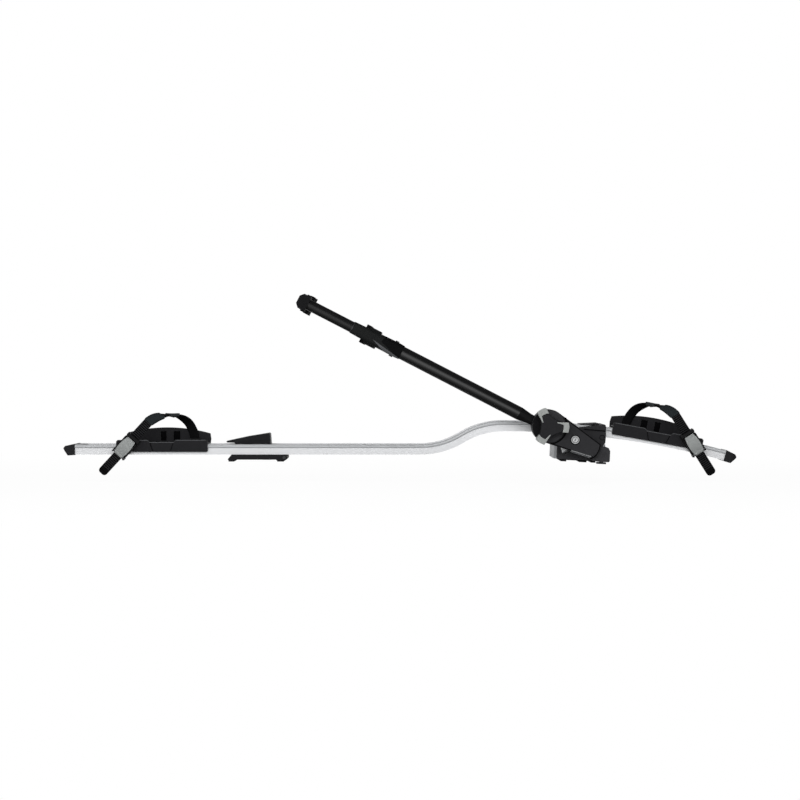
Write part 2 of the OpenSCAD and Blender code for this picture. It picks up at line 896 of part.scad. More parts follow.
module rear_foot() {
    hook_r = 6.2;
    hook_x = foot_right - hook_r;
    hook_z = foot_top - hook_r;
    color(BLACK)
        at_foot()
            difference() {
                union() {
                    side(-foot_w / 2, foot_w / 2)
                        polygon([
                            [foot_left, foot_top],
                            [hook_x, foot_top],
                            [hook_x, 2],
                            [hook_x - 15, 2],
                            [hook_x - 18, foot_bottom],
                            [foot_left + 8, foot_bottom],
                            [foot_left + 6, 2],
                            [foot_left - 6, 2],
                            [foot_left - 8, 5]
                        ]);
                    translate([hook_x, 0, hook_z])
                        ycyl(hook_r, -foot_w / 2, foot_w / 2);
                }
                // Bore and pocket of the T-bolt
                translate([0, 0, foot_bottom - 3])
                    cylinder(r = bolt_r + fit, h = foot_top);
                translate([-head_w / 2 - 0.5, -head_w / 2 - 0.5, 0])
                    cube([head_w + 1, head_w + 1, head_z + head_t + fit]);
                // Seats of the rivet and lightening pocket
                translate([hook_x, 0, hook_z])
                    ycyl(2.5, -foot_w, foot_w);
                translate([foot_left + 14, -foot_w / 2 + 6, foot_bottom - 1])
                    cube([-foot_left - 30, foot_w - 12, foot_top - foot_bottom - 3]);
            }
}

module rear_foot_pads() {
    color(RUBBER)
        at_foot()
            for (x = [[foot_left - 6, 12], [foot_right - 6.2 - 15, 14]])
                translate([x[0], -foot_w / 2, 0])
                    cube([x[1], foot_w, 2]);
}

module foot_rivet() {
    color(STEEL)
        at_foot()
            translate([foot_right - 6.2, 0, foot_top - 6.2]) {
                ycyl(2.5, -foot_w / 2, foot_w / 2);
                for (y = [-foot_w / 2 - 1.2, foot_w / 2])
                    ycyl(3.6, y, y + 1.2);
            }
}

module cam_seat() {
    color(STEEL)
        at_foot()
            difference() {
                translate([-24, -cam_w / 2 - 2, web_top + fit])
                    cube([40, cam_w + 4, seat_t]);
                translate([0, 0, web_top])
                    cylinder(r = bolt_r + fit, h = seat_t + 2);
            }
}

module rear_t_bolt() {
    color(STEEL)
        at_foot()
            difference() {
                union() {
                    translate([-head_w / 2, -head_w / 2, head_z])
                        cube([head_w, head_w, head_t]);
                    translate([0, 0, head_z])
                        cylinder(r = bolt_r, h = cam_pin_z - head_z);
                    translate([0, 0, cam_pin_z])
                        ycyl(eye_r, -eye_w / 2, eye_w / 2);
                }
                translate([0, 0, cam_pin_z])
                    ycyl(cam_pin_r, -eye_w, eye_w);
            }
}

module cam_pin() {
    color(STEEL)
        at_foot()
            translate([0, 0, cam_pin_z])
                ycyl(cam_pin_r, -cam_w / 2 + 1, cam_w / 2 - 1);
}

// Wedge lever whose round end is an eccentric cam on the seat
module cam_lever() {
    top = rail_z + 45.4;
    rim = rail_z + rail_h;
    nose_r = 3;
    color(BLACK)
        at_foot()
            difference() {
                union() {
                    side(-cam_w / 2, cam_w / 2)
                        union() {
                            polygon([
                                [-86, rim + 6.4],
                                [-40, rim + 16.4],
                                [4, top],
                                [7.2, top - nose_r],
                                [8.7, rim],
                                [7.8, cam_pin_z],
                                [-12, cam_pin_z - 5],
                                [-58, rim - 4],
                                [-67, rim + 0.4],
                                [-69, rim + 3],
                                [-84.5, rim + 3.4]
                            ]);
                            translate([4.2, top - nose_r])
                                circle(nose_r);
                        }
                    translate([-cam_throw * sin(cam_lead), 0, cam_pin_z - cam_throw * cos(cam_lead)])
                        ycyl(cam_r, -cam_w / 2, cam_w / 2);
                }
                translate([0, 0, cam_pin_z])
                    ycyl(cam_pin_r + run, -cam_w, cam_w);
                // Slot for the bolt's eye, open downward and to the front
                translate([-eye_r - 0.6, -eye_w / 2 - 0.4, 0])
                    cube([60, eye_w + 0.8, cam_pin_z + eye_r + 0.6]);
                // Finger hollow under the thin end
                translate([-76, -cam_w / 2 + 4, 0])
                    cube([50, cam_w - 8, rim + 2.6]);
                // Sunk panel along each side
                for (s = [-1, 1])
                    side(s > 0 ? cam_w / 2 - 1 : -cam_w / 2 - 1, s > 0 ? cam_w / 2 + 1 : -cam_w / 2 + 1)
                        polygon([[-60, rim + 3], [2, rim + 3], [1, rim + 9], [-40, rim + 7]]);
            }
}

// Base

module bracket_plan(inset) {
    translate([(slab_x0 + slab_x1) / 2, (slab_y0 + slab_y1) / 2])
        rrect(slab_x1 - slab_x0 - 2 * inset, slab_y1 - slab_y0 - 2 * inset, 16 - inset);
}

module front_bolt_hole(extra) {
    in_base()
        translate([front_bolt_x, 0, 0])
            cylinder(r = bolt_r + extra, h = slab_top + 1);
}

module base_bracket() {
    cavity_top = slab_top - slab_wall - 2;
    color(ALU)
        difference() {
            union() {
                in_base()
                    translate([0, 0, sole_t])
                        linear_extrude(slab_top - sole_t)
                            bracket_plan(0);
                // Pedestal that the rail rests on
                side(-pedestal_w / 2, pedestal_w / 2)
                    polygon(concat(
                        [[pedestal_x1, slab_top - 8], [pedestal_x0, slab_top - 8]],
                        [
                            for (i = [0:pedestal_cuts])
                                let (x = pedestal_x0 + i * (pedestal_x1 - pedestal_x0) / pedestal_cuts)
                                [x, front_z(x, front_r - 0.05)]
                        ]
                    ));
                translate([pivot_x, 0, pivot_z])
                    ycyl(boss_r, -base_half, base_half);
            }
            in_base()
                translate([0, 0, -1])
                    linear_extrude(cavity_top + 1)
                        bracket_plan(slab_wall);
            translate([pivot_x, 0, pivot_z]) {
                ycyl(shaft_r + 0.6, -base_w, base_w);
                ycyl(bush_r, -base_w, -base_half + 15);
                ycyl(bush_r, base_half - 15, base_w);
            }
            for (x = rail_screw_xs)
                rail_screw_at(x)
                    translate([0, 0, -rail_screw_len])
                        cylinder(r = rail_screw_r, h = rail_screw_len + 2);
            front_bolt_hole(0.2);
        }
}

// Near cover with a front block that is cut round for the housing's end
module base_cover() {
    low = sole_t + 0.1;
    lap = 2;
    color(BLACK) {
        difference() {
            in_base()
                side(-base_half, slab_y0)
                    polygon([
                        [-56.5, low],
                        [cover_end - 0.5, low],
                        [cover_end - 0.5, slab_top - 6],
                        [cover_end - 6, slab_top + 1],
                        [31, slab_top + 1],
                        [25, slab_top - 2],
                        [-20, slab_top - 3.5],
                        [-29.5, slab_top - 6],
                        [-41, slab_top - 17],
                        [-45.5, slab_top],
                        [-56.5, slab_top - 1]
                    ]);
            translate([pivot_x, 0, pivot_z])
                ycyl(boss_r + 0.1, -base_w, 0);
        }
        difference() {
            in_base()
                side(-base_half - block_depth, -base_half + lap)
                    polygon([
                        [30, low - 0.3],
                        [cover_end - 2, low - 0.3],
                        [cover_end, low + 2],
                        [cover_end, slab_top - 4],
                        [cover_end - 3.6, slab_top + 2.6],
                        [cover_end - 7.4, slab_top + 4],
                        [20, slab_top + 4],
                        [12, 12],
                        [14, low + 1]
                    ]);
            translate([pivot_x, 0, pivot_z])
                ycyl(house_end_r + 0.6, -base_w, 0);
            // Round recess of a closing plug
            in_base()
                translate([41, 0, 21])
                    ycyl(3.4, -base_half - block_depth - 1, -base_half - block_depth + 0.8);
        }
    }
}

module saddle_cheek() {
    polygon([
        [pivot_x + boss_r + 2, slab_top - 0.2],
        [42, slab_top - 1.9],
        [46, slab_top + 5],
        [49, slab_top + 8],
        [50.6, slab_top + 24],
        [50, slab_top + 46],
        [48, slab_top + 47.6],
        [-1, slab_top + 42.4],
        [-18, slab_top + 40],
        [-18, pivot_z + boss_r + 2],
        [pivot_x + boss_r + 2, pivot_z + boss_r + 2]
    ]);
}

// Saddle with a cheek on each side of the rail and a bridge over it
module rail_saddle() {
    color(BLACK)
        difference() {
            union() {
                side(-saddle_y0 - cheek_t, -saddle_y0)
                    saddle_cheek();
                side(saddle_y0, saddle_y0 + cheek_t)
                    saddle_cheek();
                difference() {
                    side(-saddle_y0 - 1, saddle_y0 + 1)
                        polygon([
                            [34, slab_top + 30],
                            [50.3, slab_top + 30],
                            [50, slab_top + 46],
                            [48, slab_top + 47.6],
                            [34, slab_top + 46.1]
                        ]);
                    translate(front_c)
                        rotate([90, 0, 0])
                            cylinder(r = front_r + rail_h + 0.2, h = 4 * saddle_y0, center = true, $fn = 1440);
                }
            }
            // Cut that seats the cheeks on the tilted bracket
            in_base()
                translate([0, -base_w, slab_top - 20])
                    cube([80, 2 * base_w, 20]);
            // Seam line and screw recess on the near cheek
            side(-saddle_y0 - cheek_t - 1, -saddle_y0 - cheek_t + 0.8)
                polygon([
                    [-20, slab_top + 31.4],
                    [60, slab_top + 31.4],
                    [60, slab_top + 32.4],
                    [-20, slab_top + 32.4]
                ]);
            translate([42, 0, slab_top + 20])
                ycyl(4.4, -saddle_y0 - cheek_t - 1, -saddle_y0 - cheek_t + 1.2);
        }
}

// Thin plate that lies from the rail's beads up to the saddle's bridge
module saddle_plate() {
    x0 = -3;
    z0 = front_z(x0, front_r + rail_h) + 0.25;
    x1 = 38;
    z1 = slab_top + 50;
    color(BLACK)
        side(-rail_w / 2, rail_w / 2)
            polygon([
                [x0, z0],
                [34, slab_top + 46.35],
                [x1, slab_top + 46.75],
                [x1, z1 - 0.8],
                [x1 - 1.5, z1],
                [x0, z0 + 0.7]
            ]);
}

module base_sole() {
    color(RUBBER)
        in_base()
            union() {
                translate([sole_x0, slab_y0 + 1, sole_rib])
                    cube([sole_x1 - sole_x0, slab_y1 - slab_y0 - 2, sole_t - sole_rib]);
                for (x = [[sole_x0, 12], [-8, 16], [sole_x1 - 10, 10]])
                    translate([x[0], slab_y0 + 1, 0])
                        cube([x[1], slab_y1 - slab_y0 - 2, sole_rib + 0.5]);
            }
}

// Flanged bushes of the pivot
module pivot_bushes() {
    color(BLACK)
        translate([pivot_x, 0, pivot_z])
            for (s = [-1, 1])
                difference() {
                    union() {
                        ycyl(bush_r, s > 0 ? base_half - 15 : -base_half, s > 0 ? base_half : -base_half + 15);
                        ycyl(boss_r, s > 0 ? base_half : -base_half - flange_t, s > 0 ? base_half + flange_t : -base_half);
                    }
                    ycyl(shaft_r + run, -base_w, base_w);
                }
}

module front_t_bolt() {
    color(STEEL)
        in_base()
            translate([front_bolt_x, 0, 0]) {
                translate([-head_w / 2, -head_w / 2, -4.5])
                    cube([head_w, head_w, head_t]);
                translate([0, 0, -4.5])
                    cylinder(r = bolt_r, h = slab_top + 4.5 + nut_t + 2);
            }
}

module front_t_nut() {
    color(STEEL)
        in_base()
            translate([front_bolt_x, 0, slab_top])
                difference() {
                    cylinder(r = nut_r, h = nut_t, $fn = 6);
                    translate([0, 0, -1])
                        cylinder(r = bolt_r, h = nut_t + 2);
                }
}

// Arm

module pivot_shaft() {
    color(STEEL)
        at_pivot()
            difference() {
                ycyl(shaft_r, shaft_y0, shaft_y1);
                ycyl(shaft_bore_r, shaft_y0 - 1, shaft_y1 + 1);
            }
}

// Neck that is fixed in the housing, and its spigot inside the tube
module arm_fork() {
    channel_r = cable_r + 1.5;
    color(BLACK)
        at_arm()
            difference() {
                union() {
                    arm_run(neck_from, tube_from - 22)
                        translate([arm_y, 0])
                            rrect(neck_d, neck_h, 7);
                    hull() {
                        arm_run(tube_from - 23, tube_from - 22)
                            translate([arm_y, 0])
                                rrect(neck_d, neck_h, 7, $fn = 32);
                        arm_run(tube_from - 1, tube_from)
                            translate([arm_y, 0])
                                stadium(tube_d, tube_h, $fn = 48);
                    }
                    arm_run(tube_from - 1, tube_from + spigot)
                        translate([arm_y, 0])
                            stadium(tube_d - 2 * tube_wall, tube_h - 2 * tube_wall);
                }
                arm_run(0, tube_from + spigot + 1)
                    translate([arm_y, cable_z])
                        circle(channel_r);
            }
}

// Cap on the far end of the pivot shaft
module hub_cap() {
    color(BLACK)
        at_pivot()
            difference() {
                union() {
                    ycyl(hub_r, hub_y0, hub_y1 - 3);
                    ycyl(hub_r - 3, hub_y0 + 1, hub_y1);
                }
                ycyl(shaft_r, hub_y0 - 1, shaft_y1);
            }
}

module arm_tube() {
    color(BLACK)
        at_arm()
            arm_run(tube_from, tube_to)
                translate([arm_y, 0])
                    difference() {
                        stadium(tube_d, tube_h);
                        stadium(tube_d - 2 * tube_wall, tube_h - 2 * tube_wall);
                    }
}

// Outline of a jaw's hollow side as a large circle about a point along the arm
module grip_circle(centre, r) {
    translate([-centre, grip_y])
        circle(r, $fn = 720);
}

module across_arm(w) {
    linear_extrude(w, center = true)
        children();
}

module lower_jaw() {
    sleeve_d = tube_d + 6;
    neck_half = inner_h / 2 + tube_gap + 0.9;
    flare_half = tube_h / 2 + sleeve_t;
    color(BLACK)
        at_arm()
            difference() {
                union() {
                    intersection() {
                        side(arm_y - sleeve_d / 2, arm_y + sleeve_d / 2)
                            polygon([
                                [-sleeve_from_a, -tube_h / 2 - 1],
                                [-sleeve_from_a - 9, -flare_half],
                                [-sleeve_from_a - 24, -flare_half],
                                [-collar_at + 2, -neck_half],
                                [-collar_at + 2, neck_half],
                                [-sleeve_from_a - 24, flare_half],
                                [-sleeve_from_a - 9, flare_half],
                                [-sleeve_from_a, tube_h / 2 + 1]
                            ]);
                        arm_run(sleeve_from_a - 1, collar_at)
                            translate([arm_y, 0])
                                rrect(sleeve_d, 2 * flare_half, 9);
                    }
                    // Finger over the rail
                    across_arm(30)
                        difference() {
                            polygon([
                                [-sleeve_from_a - 8, jaw_y],
                                [-low_tip, jaw_y],
                                [-low_tip, -jaw_reach],
                                [-low_tip + 38, -jaw_reach],
                                [-low_tip + 62, -jaw_reach + 22],
                                [-sleeve_from_a - 8, 44]
                            ]);
                            grip_circle(low_c, grip_r + pad_t);
                        }
                    // Backing of the pad
                    across_arm(pad_w - 3)
                        difference() {
                            translate([-low_tip, -jaw_reach])
                                square([35, jaw_y + jaw_reach]);
                            grip_circle(low_c, grip_r + pad_t);
                        }
                }
                arm_run(sleeve_from_a - 2, tube_to)
                    translate([arm_y, 0])
                        stadium(tube_d, tube_h);
                arm_run(tube_to, collar_at + 1)
                    translate([arm_y, 0])
                        stadium(inner_d + 2 * tube_gap, inner_h + 2 * tube_gap);
                for (s = [-1, 1])
                    translate([-sleeve_from_a - 18, arm_y, s > 0 ? tube_h / 2 : -tube_h / 2 - 10])
                        cylinder(r = 2.5, h = 10);
            }
}

// Soft pad on a jaw's hollow side, with grooves across it
module jaw_pad(centre, tip, w, toward) {
    grooves = 7;
    across_arm(w)
        intersection() {
            difference() {
                grip_circle(centre, grip_r + pad_t - 0.05);
                grip_circle(centre, grip_r);
                for (i = [0:grooves - 1])
                    translate([-centre, grip_y])
                        rotate(toward * (i - (grooves - 1) / 2) * asin(13 / grip_r))
                            translate([toward * grip_r, 0])
                                circle(1.4);
            }
            translate([toward > 0 ? -tip : -tip - 40, -jaw_reach])
                square([40, 2 * (jaw_reach + grip_y)]);
        }
}

module lower_jaw_pad() {
    color(RUBBER)
        at_arm()
            jaw_pad(low_c, low_tip, pad_w, 1);
}

module jaw_screws() {
    color(STEEL)
        at_arm()
            for (s = [-1, 1])
                mirror([0, 0, s < 0 ? 1 : 0])
                    translate([-sleeve_from_a - 18, arm_y, 0]) {
                        translate([0, 0, tube_h / 2])
                            cylinder(r = 2.5, h = sleeve_t);
                        translate([0, 0, tube_h / 2 + sleeve_t])
                            cylinder(r = 4, h = 2.2);
                    }
}

module tube_collar() {
    color(STEEL)
        at_arm()
            arm_run(collar_at - 2, collar_at + 1)
                translate([arm_y, 0])
                    difference() {
                        stadium(inner_d + 3.6, inner_h + 2.6);
                        stadium(inner_d + 2 * tube_gap, inner_h + 2 * tube_gap);
                    }
}

// Jaw that slides in the arm

module inner_tube() {
    plug_to = inner_from + plug_len;
    color(BLACK)
        at_arm()
            arm_run(inner_from, inner_to)
                translate([arm_y, 0])
                    difference() {
                        stadium(inner_d, inner_h);
                        stadium(inner_d - 2 * tube_wall, inner_h - 2 * tube_wall);
                    }
    color(BLACK)
        at_arm()
            arm_run(inner_from, plug_to)
                translate([arm_y, 0])
                    difference() {
                        stadium(inner_d - 2 * tube_wall + 0.5, inner_h - 2 * tube_wall + 0.5);
                        translate([0, cable_z])
                            circle(cable_r + 0.7);
                    }
}

module upper_jaw() {
    nose = 16.5;
    root = high_tip + 6;
    cap_y = arm_y + tube_half + 2;
    color(BLACK)
        at_arm()
            difference() {
                union() {
                    intersection() {
                        across_arm(2 * nose)
                            difference() {
                                polygon([
                                    [-root, cap_y],
                                    [-arm_len + 4, cap_y],
                                    [-arm_len, cap_y - 6],
                                    [-arm_len, 20],
                                    [-arm_len + 7, -jaw_reach],
                                    [-high_tip, -jaw_reach],
                                    [-high_tip, jaw_y - 3],
                                    [-root, jaw_y - 3]
                                ]);
                                grip_circle(high_c, grip_r + pad_t);
                            }
                        side(-base_w, base_w)
                            polygon([
                                [-high_tip, -nose],
                                [-arm_len + 8, -nose],
                                [-arm_len, -nose + 8],
                                [-arm_len, nose - 8],
                                [-arm_len + 8, nose],
                                [-high_tip, nose]
                            ]);
                    }
                    across_arm(pad_w - 4)
                        difference() {
                            translate([-high_tip - 18, -jaw_reach])
                                square([18, jaw_y + jaw_reach - 3]);
                            grip_circle(high_c, grip_r + pad_t);
                        }
                }
                arm_run(root - 10, inner_to)
                    translate([arm_y, 0])
                        stadium(inner_d, inner_h);
            }
}

module upper_jaw_pad() {
    color(RUBBER)
        at_arm()
            jaw_pad(high_c, high_tip, pad_w - 2, -1);
}

// Housing on the near end of the pivot

// Teardrop about the knob that ends in an arc about the pivot
module house_outline(inset) {
    big = house_r - inset;
    flank = big - 0.05;
    tail = house_end_r + 5;
    tip_a = knob_dist - flank * sin(house_lean);
    tip_h = flank * cos(house_lean);
    end_h = tip_h - (tip_a + tail) * tan(house_lean);
    translate([-knob_dist, 0])
        circle(big);
    intersection() {
        polygon([
            [-tip_a, tip_h],
            [-tip_a, -tip_h],
            [tail, -end_h],
            [tail, end_h]
        ]);
        union() {
            circle(house_end_r - inset);
            translate([-knob_dist, -house_r])
                square([knob_dist, 2 * house_r]);
        }
    }
}

module housing_plate() {
    edge = 3;
    color(ALU)
        at_pivot()
            difference() {
                union() {
                    side(plate_y0, plate_y1)
                        union() {
                            house_outline(0.6);
                            intersection() {
                                translate([0, -edge])
                                    house_outline(0.6);
                                circle(house_end_r - 0.2);
                                translate([-12, -house_r])
                                    square([43, house_r]);
                            }
                        }
                    ycyl(boss_r, shaft_y0, plate_y1 - 1);
                }
                ycyl(shaft_r, shaft_y0 - 1, plate_y1 + 1);
                translate([-knob_dist, 0, 0])
                    ycyl(knob_shaft_r + run, plate_y0 - 1, plate_y1 - 2);
            }
}

module housing_cover() {
    // Depth and inset of the two steps that round the front edge
    steps = [[0, 0.8], [0.6, 0.25], [1.2, 0]];
    color(BLACK)
        at_pivot()
            difference() {
                union() {
                    for (step = steps)
                        side(house_y0 + step[0], plate_y0)
                            house_outline(step[1]);
                }
                side(house_in, plate_y0 + 1)
                    house_outline(house_wall);
                translate([-knob_dist, 0, 0])
                    ycyl(knob_shaft_r + run, house_y0 - 1, house_in + 1);
                translate([-lock_dist, 0, 0])
                    ycyl(lock_r - 1, house_y0 - 1, house_in + 1);
                // Groove around the knob
                translate([-knob_dist, 0, 0])
                    difference() {
                        ycyl(house_r + 1.2, house_y0 - 1, house_y0 + 0.8);
                        ycyl(house_r - 1.5, house_y0 - 2, house_y0 + 1.8);
                    }
                // Opening for the arm's neck
                translate([-knob_dist - house_r - 5, -arm_y - neck_d / 2 - fit, -arm_drop - neck_h / 2 - fit])
                    cube([house_r, neck_d + fit + 1, neck_h + 2 * fit]);
            }
}

module lock_ring() {
    color(STEEL)
        at_pivot()
            translate([-lock_dist, 0, 0])
                difference() {
                    union() {
                        ycyl(lock_r, house_y0 - 1.6, house_y0);
                        ycyl(lock_r - 1, house_y0, house_in + 8);
                    }
                    ycyl(plug_r - 0.6 + run, house_y0 - 3, house_in + 9);
                }
}

module lock_plug() {
    body_r = plug_r - 0.6;
    slot = 1.4;
    color(SILVER)
        at_pivot()
            translate([-lock_dist, 0, 0])
                difference() {
                    union() {
                        ycyl(body_r, house_y0 - 2, house_in + 8.3);
                        side(house_in + 8.3, house_in + 11)
                            translate([-2.5, -2.5])
                                square([11, 5]);
                    }
                    side(house_y0 - 3, house_y0 + 5)
                        square([slot, 7], center = true);
                }
}

// Cable from the drum up the arm, with its ferrule on the pull plug
module pull_cable() {
    plug_to = inner_from + plug_len;
    color(STEEL)
        at_arm() {
            arm_run(knob_dist, plug_to + 0.2)
                translate([arm_y, cable_z])
                    circle(cable_r);
            arm_run(plug_to + 0.2, plug_to + 8)
                translate([arm_y, cable_z])
                    circle(ferrule_r);
        }
}

// Knob

module knob_star(r) {
    cut_at = knob_waist + lobe_cut;
    difference() {
        circle(r);
        for (a = grip_angles)
            rotate(a + 60)
                translate([cut_at, 0])
                    circle(lobe_cut, $fn = 180);
    }
}

module knob() {
    color(BLACK)
        at_pivot()
            translate([-knob_dist, 0, 0])
                difference() {
                    union() {
                        ycyl(house_r - 0.3, knob_y1 - disc_t, knob_y1);
                        side(grip_ledge, knob_y1 - disc_t)
                            knob_star(knob_r);
                        side(knob_y0, grip_ledge)
                            knob_star(grip_in);
                    }
                    ycyl(knob_shaft_r, knob_y0 + 10, knob_y1 + 1);
                }
}

// Silver grip on each lobe, with a thin strip that runs inward along one edge
module knob_grips() {
    proud = 0.8;
    color(SILVER)
        at_knob()
            for (a = grip_angles)
                rotate([0, -a, 0]) {
                    side(knob_y0 - proud, grip_ledge)
                        difference() {
                            intersection() {
                                circle(knob_r + 1);
                                translate([0, -grip_half])
                                    square([knob_r + 2, 2 * grip_half]);
                            }
                            circle(grip_in);
                        }
                    side(knob_y0 - proud, knob_y0)
                        polygon([
                            [knob_waist - 5, grip_half - 1.6],
                            [grip_in + 1, grip_half - 5],
                            [grip_in + 1, grip_half],
                            [knob_waist - 5, grip_half]
                        ]);
                }
}

// Shaft of the knob with the cable drum on it
module knob_drum() {
    flange = 2;
    wide = 10;
    color(STEEL)
        at_knob() {
            ycyl(knob_shaft_r, knob_y0 + 10, plate_y1 - 2.4);
            difference() {
                ycyl(drum_r + 4, -arm_y - wide / 2 - flange, -arm_y + wide / 2 + flange);
                difference() {
                    ycyl(drum_r + 6, -arm_y - wide / 2, -arm_y + wide / 2);
                    ycyl(drum_r - cable_r - 0.1, -arm_y - wide, -arm_y + wide);
                }
            }
        }
}

rail();
rear_cap();
front_cap();
rail_screws();
base_bracket();
base_cover();
rail_saddle();
saddle_plate();
base_sole();
pivot_bushes();
front_t_bolt();
front_t_nut();
rear_foot();
rear_foot_pads();
foot_rivet();
cam_seat();
rear_t_bolt();
cam_pin();
cam_lever();
rear_holder();
rear_tyre_pad();
rear_strap();
rear_clip();
rear_sleeve();
rear_ladder();
rear_anchor();
rear_buckle_frame();
rear_buckle_screw();
rear_buckle_pin();
rear_buckle_lever();
front_holder();
front_tyre_pad();
front_strap();
front_clip();
front_sleeve();
front_ladder();
front_anchor();
front_buckle_frame();
front_buckle_screw();
front_buckle_pin();
front_buckle_lever();
pivot_shaft();
arm_fork();
hub_cap();
arm_tube();
lower_jaw();
lower_jaw_pad();
jaw_screws();
tube_collar();
housing_plate();
housing_cover();
lock_ring();
pull_cable();
knob();
knob_grips();
knob_drum();
lock_plug();
inner_tube();
upper_jaw();
upper_jaw_pad();
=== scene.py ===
"""Looks of a roof mounted bike carrier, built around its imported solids."""

import json
import logging
import math
from dataclasses import dataclass, field, replace
from enum import Enum

import bmesh
import bpy
from mathutils import Matrix, Vector

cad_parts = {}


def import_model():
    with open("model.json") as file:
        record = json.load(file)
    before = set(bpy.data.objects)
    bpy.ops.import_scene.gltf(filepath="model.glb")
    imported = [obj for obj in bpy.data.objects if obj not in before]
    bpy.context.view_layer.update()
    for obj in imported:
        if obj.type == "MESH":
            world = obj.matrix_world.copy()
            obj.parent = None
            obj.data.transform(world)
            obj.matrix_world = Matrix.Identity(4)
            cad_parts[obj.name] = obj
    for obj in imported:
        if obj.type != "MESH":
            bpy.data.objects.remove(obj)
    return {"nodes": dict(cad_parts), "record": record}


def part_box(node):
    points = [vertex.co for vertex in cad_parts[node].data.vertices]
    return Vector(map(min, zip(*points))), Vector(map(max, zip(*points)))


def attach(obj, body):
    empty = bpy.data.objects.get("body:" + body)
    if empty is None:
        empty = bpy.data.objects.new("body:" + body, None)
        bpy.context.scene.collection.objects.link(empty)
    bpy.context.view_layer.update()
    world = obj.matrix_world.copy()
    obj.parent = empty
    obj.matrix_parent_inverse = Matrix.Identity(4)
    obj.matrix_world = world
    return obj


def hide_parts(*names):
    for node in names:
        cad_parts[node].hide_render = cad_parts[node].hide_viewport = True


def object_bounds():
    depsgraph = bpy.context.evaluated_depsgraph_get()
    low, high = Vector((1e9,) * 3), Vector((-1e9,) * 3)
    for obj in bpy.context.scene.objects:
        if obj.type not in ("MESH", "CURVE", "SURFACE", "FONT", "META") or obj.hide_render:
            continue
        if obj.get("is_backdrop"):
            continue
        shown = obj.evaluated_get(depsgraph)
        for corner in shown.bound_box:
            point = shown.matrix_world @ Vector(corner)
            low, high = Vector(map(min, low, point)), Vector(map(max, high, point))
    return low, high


LOG = logging.getLogger("bike_carrier")
MM = 0.001

SHARP_ANGLE = math.radians(32)
FLAT_ANGLE = math.radians(0.6)
JOIN_ANGLE = math.radians(40)
CREASE_ANGLE = math.radians(50)
CREASE = 0.85
SMOOTH_LEVELS = 2
EDGE_SEGMENTS = 3

# Trim is drawn in millimetres. It stands a little out of its face and a little way into it.
TRIM_ANGLE = math.radians(50)
TRIM_PROUD = 0.3
TRIM_SUNK = 0.2
TRIM_SOFT = 0.15
WHOLE_TURN = (0.0, 360.0)
RING_STEPS = 48
BEAD_SIDES = 10

TONE_STOPS = (0.25, 0.75)
LEAST_ROUGHNESS = 0.02

Colour = tuple[float, float, float, float]


class Treatment(Enum):
    """How a solid is shown: as it is, with rounded edges, or as a smooth band."""

    KEEP = "keep"
    ROUNDED = "rounded"
    SMOOTHED = "smoothed"


class End(Enum):
    """The two ends of the rail that carry a wheel holder."""

    REAR = "rear"
    FRONT = "front"


def srgb(code: str) -> Colour:
    """Turn a written colour into the linear colour that a shader takes.

    Args:
        code: six hexadecimal digits, as in a paint chart.

    Returns:
        The linear colour with full opacity.
    """
    channels = [int(code[i:i + 2], 16) / 255 for i in (0, 2, 4)]
    linear = [c / 12.92 if c <= 0.04045 else ((c + 0.055) / 1.055) ** 2.4 for c in channels]
    return (linear[0], linear[1], linear[2], 1.0)


